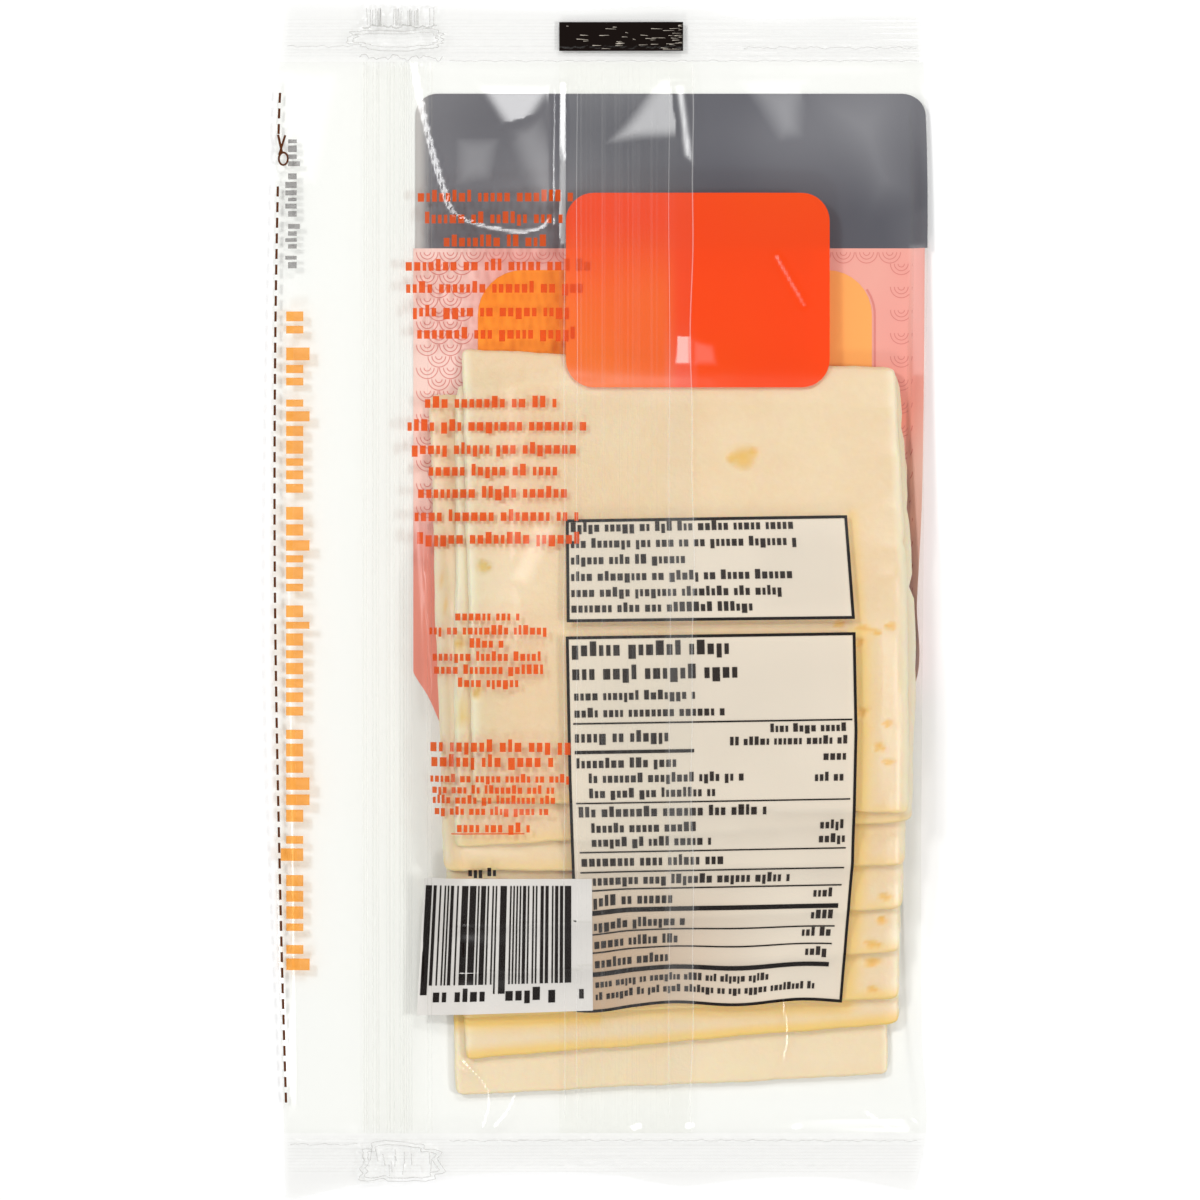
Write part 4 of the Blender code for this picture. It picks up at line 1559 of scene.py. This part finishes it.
def make_panels(surfaces, white, black, dark):
    """The list and the table: white grounds, black frames and rules, and dark small print."""
    draw = random.Random(11)
    ground = Sheet(surfaces.back, FIELD_DEPTH)
    lines = Sheet(surfaces.back, LINE_DEPTH)
    words = Sheet(surfaces.back, LINE_DEPTH)
    listing = Panel(LIST_LEFT, LIST_RIGHT)
    table = Panel(TABLE_LEFT, TABLE_RIGHT, TABLE_SAG)
    for panel in (listing, table):
        panel.box(ground, 0.0, panel.width, 0.0, panel.height)
        panel.frame(lines, FRAME_LINE)
    for down, start, end in LIST_LINES:
        listing.words(words, down, start, end, LIST_TEXT, draw)
    for down, start, end, height in TABLE_LINES:
        table.words(words, down, start, end, height, draw)
    for down, start, end, thickness in TABLE_RULES:
        table.box(lines, start, end, down - thickness / 2.0, down + thickness / 2.0)
    paint_tone(ground.piece("print_panels", white, "white_ink"), panels_painted_shadow)
    lines.piece("print_panel_lines", black, "black_ink")
    words.piece("print_panel_words", dark, "black_ink")


def make_code(surfaces, white, black):
    """The retail code's patch, with plain bars that spell nothing."""
    draw = random.Random(5)
    ground = Sheet(surfaces.left_panel, LAP_FIELD_DEPTH)
    lines = Sheet(surfaces.left_panel, LINE_DEPTH)
    patch = Panel(CODE_LEFT, CODE_RIGHT)
    patch.box(ground, 0.0, patch.width, 0.0, patch.height)
    across = CODE_START
    while across < CODE_END:
        bar = draw.choice(CODE_BARS)
        guard = min(abs(across - place) for place in (CODE_START, CODE_MIDDLE, CODE_END)) < GUARD_REACH
        patch.box(lines, across, across + bar, CODE_HIGH, GUARD_LOW if guard else CODE_LOW)
        across += bar + draw.choice(CODE_GAPS)
    for start, end in CODE_MARKS:
        patch.words(lines, CODE_MARK_DOWN, start, end, CODE_MARK_HEIGHT, draw)
    ground.piece("print_code_ground", white, "white_ink")
    lines.piece("print_code_bars", black, "black_ink")


def make_warm_lines(surfaces, material):
    """The centred small print on the left, with a rule under its last line."""
    draw = random.Random(23)
    layer = Sheet(surfaces.left_panel, LINE_DEPTH)
    for middle, y, half, height in WARM_LINES:
        text_line(layer, middle - half, middle + half, y, height, draw)
    layer.line(((-30.4, -48.1), (-15.3, -48.0)), 0.25)
    layer.piece("print_warm_lines", material, "warm_ink")


# The dashed cut line down the left fold, with a gap for the scissors sign.
CUT_START = 105.3
CUT_END = -104.7
CUT_DASH = 2.1
CUT_STEP = 3.24
CUT_WIDTH = 0.5
CUT_INSET = 0.35
CUT_GAP = (88.5, 98.0)

# Upright small print on the flap: X, high end, low end and letter height.
TALL_TEXT = (-63.0, 59.9, -79.2, 4.7)
NOTE_TEXT = (-63.5, 95.6, 68.6, 2.4)

# The batch mark: start and end across, Y and letter height.
BATCH_TEXT = (-26.9, -19.2, -56.2, 1.7)


def make_flap_print(surfaces, orange, grey, brown):
    """Print on the left flap: the cut line, a scissors sign and two upright lines of small print."""
    draw = random.Random(31)
    tall = Sheet(surfaces.left_panel, LINE_DEPTH)
    upright_line(tall, *TALL_TEXT, draw)
    tall.piece("print_flap_bars", orange, "warm_ink")

    small = Sheet(surfaces.left_panel, LINE_DEPTH)
    upright_line(small, *NOTE_TEXT, draw)
    small.piece("print_flap_note", grey, "slate_ink")

    cut = Sheet(surfaces.left_panel, LINE_DEPTH)
    y = CUT_START
    while y > CUT_END:
        end = y - CUT_DASH
        x0 = float(left_fold(y)) + CUT_INSET
        x1 = float(left_fold(end)) + CUT_INSET
        if not CUT_GAP[0] < y < CUT_GAP[1]:
            cut.quad(((x0, y), (x0 + CUT_WIDTH, y), (x1 + CUT_WIDTH, end), (x1, end)))
        y -= CUT_STEP
    draw_scissors(cut)
    cut.piece("print_cut_line", brown, "black_ink")


def draw_scissors(layer):
    """The half of a plain scissors sign that the fold leaves on the back."""
    ring = []
    for k in range(17):
        turn = 2.0 * math.pi * k / 16.0
        ring.append((-65.4 + 0.95 * math.cos(turn), 91.6 + 1.3 * math.sin(turn)))
    layer.line(ring, 0.42)
    layer.line(((-65.7, 92.9), (-66.5, 96.6)), 0.5)
    layer.line(((-66.3, 92.4), (-65.0, 96.5)), 0.45)


# The small white flecks on the seal's dark mark: partly scratches in the mark, partly painted highlight
# where it glints.
FLECKS = 46
FLECK_RIGHT = 16.6
FLECK_SPREAD = 24.0
FLECK_CROWDING = 2.2


def make_seal_mark(black, white):
    """The dark mark across the middle of the top seal, with small white flecks on it, partly scratches and
    partly painted highlight.
    """
    mark = Sheet(lambda x, y: rim_height(x, y) + 0.16, 0.0)
    mark.box(MARK_LEFT, MARK_RIGHT, MARK_HIGH, MARK_LOW)
    mark.piece("print_seal_mark", black, "black_ink")

    # White flecks: partly scratches, partly painted highlight.
    draw = random.Random(17)
    flecks = Sheet(lambda x, y: rim_height(x, y) + 0.2, 0.0)
    for _ in range(FLECKS):
        x = FLECK_RIGHT - FLECK_SPREAD * draw.random() ** FLECK_CROWDING
        y = draw.uniform(114.3, 119.6)
        length = draw.uniform(0.4, 2.4)
        rise = draw.uniform(-0.12, 0.12)
        thick = draw.uniform(0.05, 0.11)
        end = min(x + length, MARK_RIGHT - 0.1)
        flecks.quad(((x, y + thick), (end, y + rise + thick * 0.3), (end, y + rise), (x, y)))
    flecks.piece("print_seal_flecks_and_glints", white, "white_ink")


def make_batch_code(surfaces, black):
    draw = random.Random(3)
    layer = Sheet(surfaces.left_panel, LINE_DEPTH)
    text_line(layer, *BATCH_TEXT, draw)
    layer.piece("print_batch_dashes", black, "black_ink")


# Stage

FLOOR_HALF = 3.0
LIGHT_BOUNCES_THROUGH_FILM = 32


def make_floor():
    made, tree = new_material("floor")
    shader = add_node(tree, "BsdfPrincipled", {"Base Color": (0.97, 0.97, 0.97), "Roughness": 0.9})
    close_material(made, shader)
    mesh = bpy.data.meshes.new("floor")
    corners = [(x * FLOOR_HALF, y * FLOOR_HALF, 0) for x, y in ((-1, -1), (1, -1), (1, 1), (-1, 1))]
    mesh.from_pydata(corners, [], [(0, 1, 2, 3)])
    mesh.materials.append(made)
    floor = bpy.data.objects.new("floor", mesh)
    bpy.context.scene.collection.objects.link(floor)


def make_stage():
    """The white floor and sky, the lights and the camera straight above the pack."""
    scene = bpy.context.scene
    scene.view_settings.view_transform = "Standard"
    scene.cycles.transparent_max_bounces = LIGHT_BOUNCES_THROUGH_FILM
    make_floor()

    world = bpy.data.worlds.new("studio")
    world.use_nodes = True
    sky = world.node_tree.nodes["Background"]
    sky.inputs["Color"].default_value = (1.0, 1.0, 1.0, 1.0)
    sky.inputs["Strength"].default_value = SKY
    scene.world = world

    for name, place, size, power in LIGHTS:
        add_light(name, place, size, power)

    camera = bpy.data.cameras.new("camera")
    camera.sensor_width = SENSOR
    camera.lens = SENSOR * CAMERA_HEIGHT / (PHOTO_SIDE * PIXEL)
    holder = bpy.data.objects.new("camera", camera)
    holder.location = (PHOTO_X * MM, PHOTO_Y * MM, (CAMERA_HEIGHT + 1.0) * MM)
    scene.collection.objects.link(holder)
    scene.camera = holder


def add_light(name, place, size, power):
    """A soft square light that faces the middle of the pack."""
    lamp = bpy.data.lights.new(name, "AREA")
    lamp.size = size
    lamp.energy = power
    holder = bpy.data.objects.new(name, lamp)
    holder.location = place
    holder.rotation_euler = (-Vector(place)).to_track_quat("-Z", "Y").to_euler()
    bpy.context.scene.collection.objects.link(holder)


def main():
    make_stage()
    surfaces = Surfaces()

    cheese = cheese_material()
    for number in range(len(SLICES)):
        make_slice(number, surfaces, cheese)

    clear = film_material("film_clear")
    below = film_material("film_below", tint=(0.982, 0.985, 0.972))
    lapped = film_material("film_lapped")
    sealed = film_material("film_sealed", 0.02, roughness=0.24, blurred=None, tint=(1.0, 1.0, 0.99),
                           shade_on=1.4, edge_shade=(0.3, 0.3, 0.29))
    strip = film_material("zipper_plastic", 0.004, 0.005, roughness=0.3, blurred=None,
                          tint=(1.0, 1.0, 0.998), edge_shade=(0.92, 0.92, 0.90))
    make_films(surfaces, clear, lapped, below)
    make_seal("seal_top", SEAL_HIGH, TOP_CUT, TOP_PATCHES, TOP_LINES, 1.0, sealed, 41)
    make_seal("seal_bottom", SEAL_LOW, BOTTOM_CUT, BOTTOM_PATCHES, BOTTOM_LINES, 0.0, sealed, 43)
    make_zipper(strip)

    # Whitish seam lines, partly painted highlight, and faint streaks in the seam.
    seam = ink_material("film_seam", (0.97, 0.97, 0.95), cover=0.2)
    streak = ink_material("film_streak", (0.97, 0.97, 0.95), cover=0.024)
    # Beige lines of painted shade along the zipper's ribs.
    zip_rib_shade = ink_material("film_zip_rib_shade", linear(206, 202, 188), cover=0.09)
    # Grey lines of painted shade in the seals' creases and ribs.
    crease_shade = ink_material("film_crease_shade", linear(150, 149, 143), cover=0.38)
    rib = ink_material("film_rib_shade", linear(205, 205, 200), cover=0.05)
    make_seam_lines(surfaces, seam, streak, zip_rib_shade)
    make_seal_creases(crease_shade)
    make_seal_ribs(rib)

    slate = ink_material("slate", linear(88, 88, 96), linear(124, 124, 130), blob=45.0,
                         toned=linear(188, 184, 182))
    # The pink turns coral by its tone, and is painted paler as painted light where the cheese shades it.
    pink = ink_material("pink", linear(238, 180, 170), linear(234, 166, 160), toned=linear(248, 138, 112),
                        painted_light=(1.0, 0.90, 0.82))
    orange = ink_material("orange", linear(255, 148, 42), linear(255, 156, 58), blob=40.0,
                          toned=linear(253, 174, 96))
    rose = ink_material("rose", linear(224, 138, 130))
    make_header(surfaces, slate)
    make_field(surfaces, pink)
    make_panel(surfaces, orange)
    make_scales(surfaces, rose)

    # The white ground's toned colour is painted shadow, browner towards the table's lower left.
    white = ink_material("white_ground", linear(240, 229, 213), cover=0.84, toned=linear(204, 176, 150))
    code_white = ink_material("code_ground", linear(228, 224, 220), cover=0.94)
    black = ink_material("black_lines", linear(26, 20, 18))
    dark = ink_material("dark_words", linear(40, 33, 31), cover=0.92)
    red = ink_material("red_lines", (0.80, 0.095, 0.01), cover=0.72, through=(1.0, 0.3, 0.08))
    label = ink_material("label", (1.0, 0.045, 0.0), (1.0, 0.065, 0.0), cover=0.84,
                         through=(1.0, 0.14, 0.01), blob=40.0, toned=(1.0, 0.19, 0.012))
    make_label(surfaces, label)
    make_panels(surfaces, white, black, dark)
    make_code(surfaces, code_white, black)
    make_warm_lines(surfaces, red)
    grey = ink_material("grey_note", linear(110, 106, 106), cover=0.7)
    brown = ink_material("brown_dashes", linear(92, 52, 32))
    flap = ink_material("flap_orange", linear(250, 160, 50), cover=0.55, through=(1.0, 0.62, 0.25))
    make_flap_print(surfaces, flap, grey, brown)
    make_seal_mark(black, white)
    make_batch_code(surfaces, black)


main()
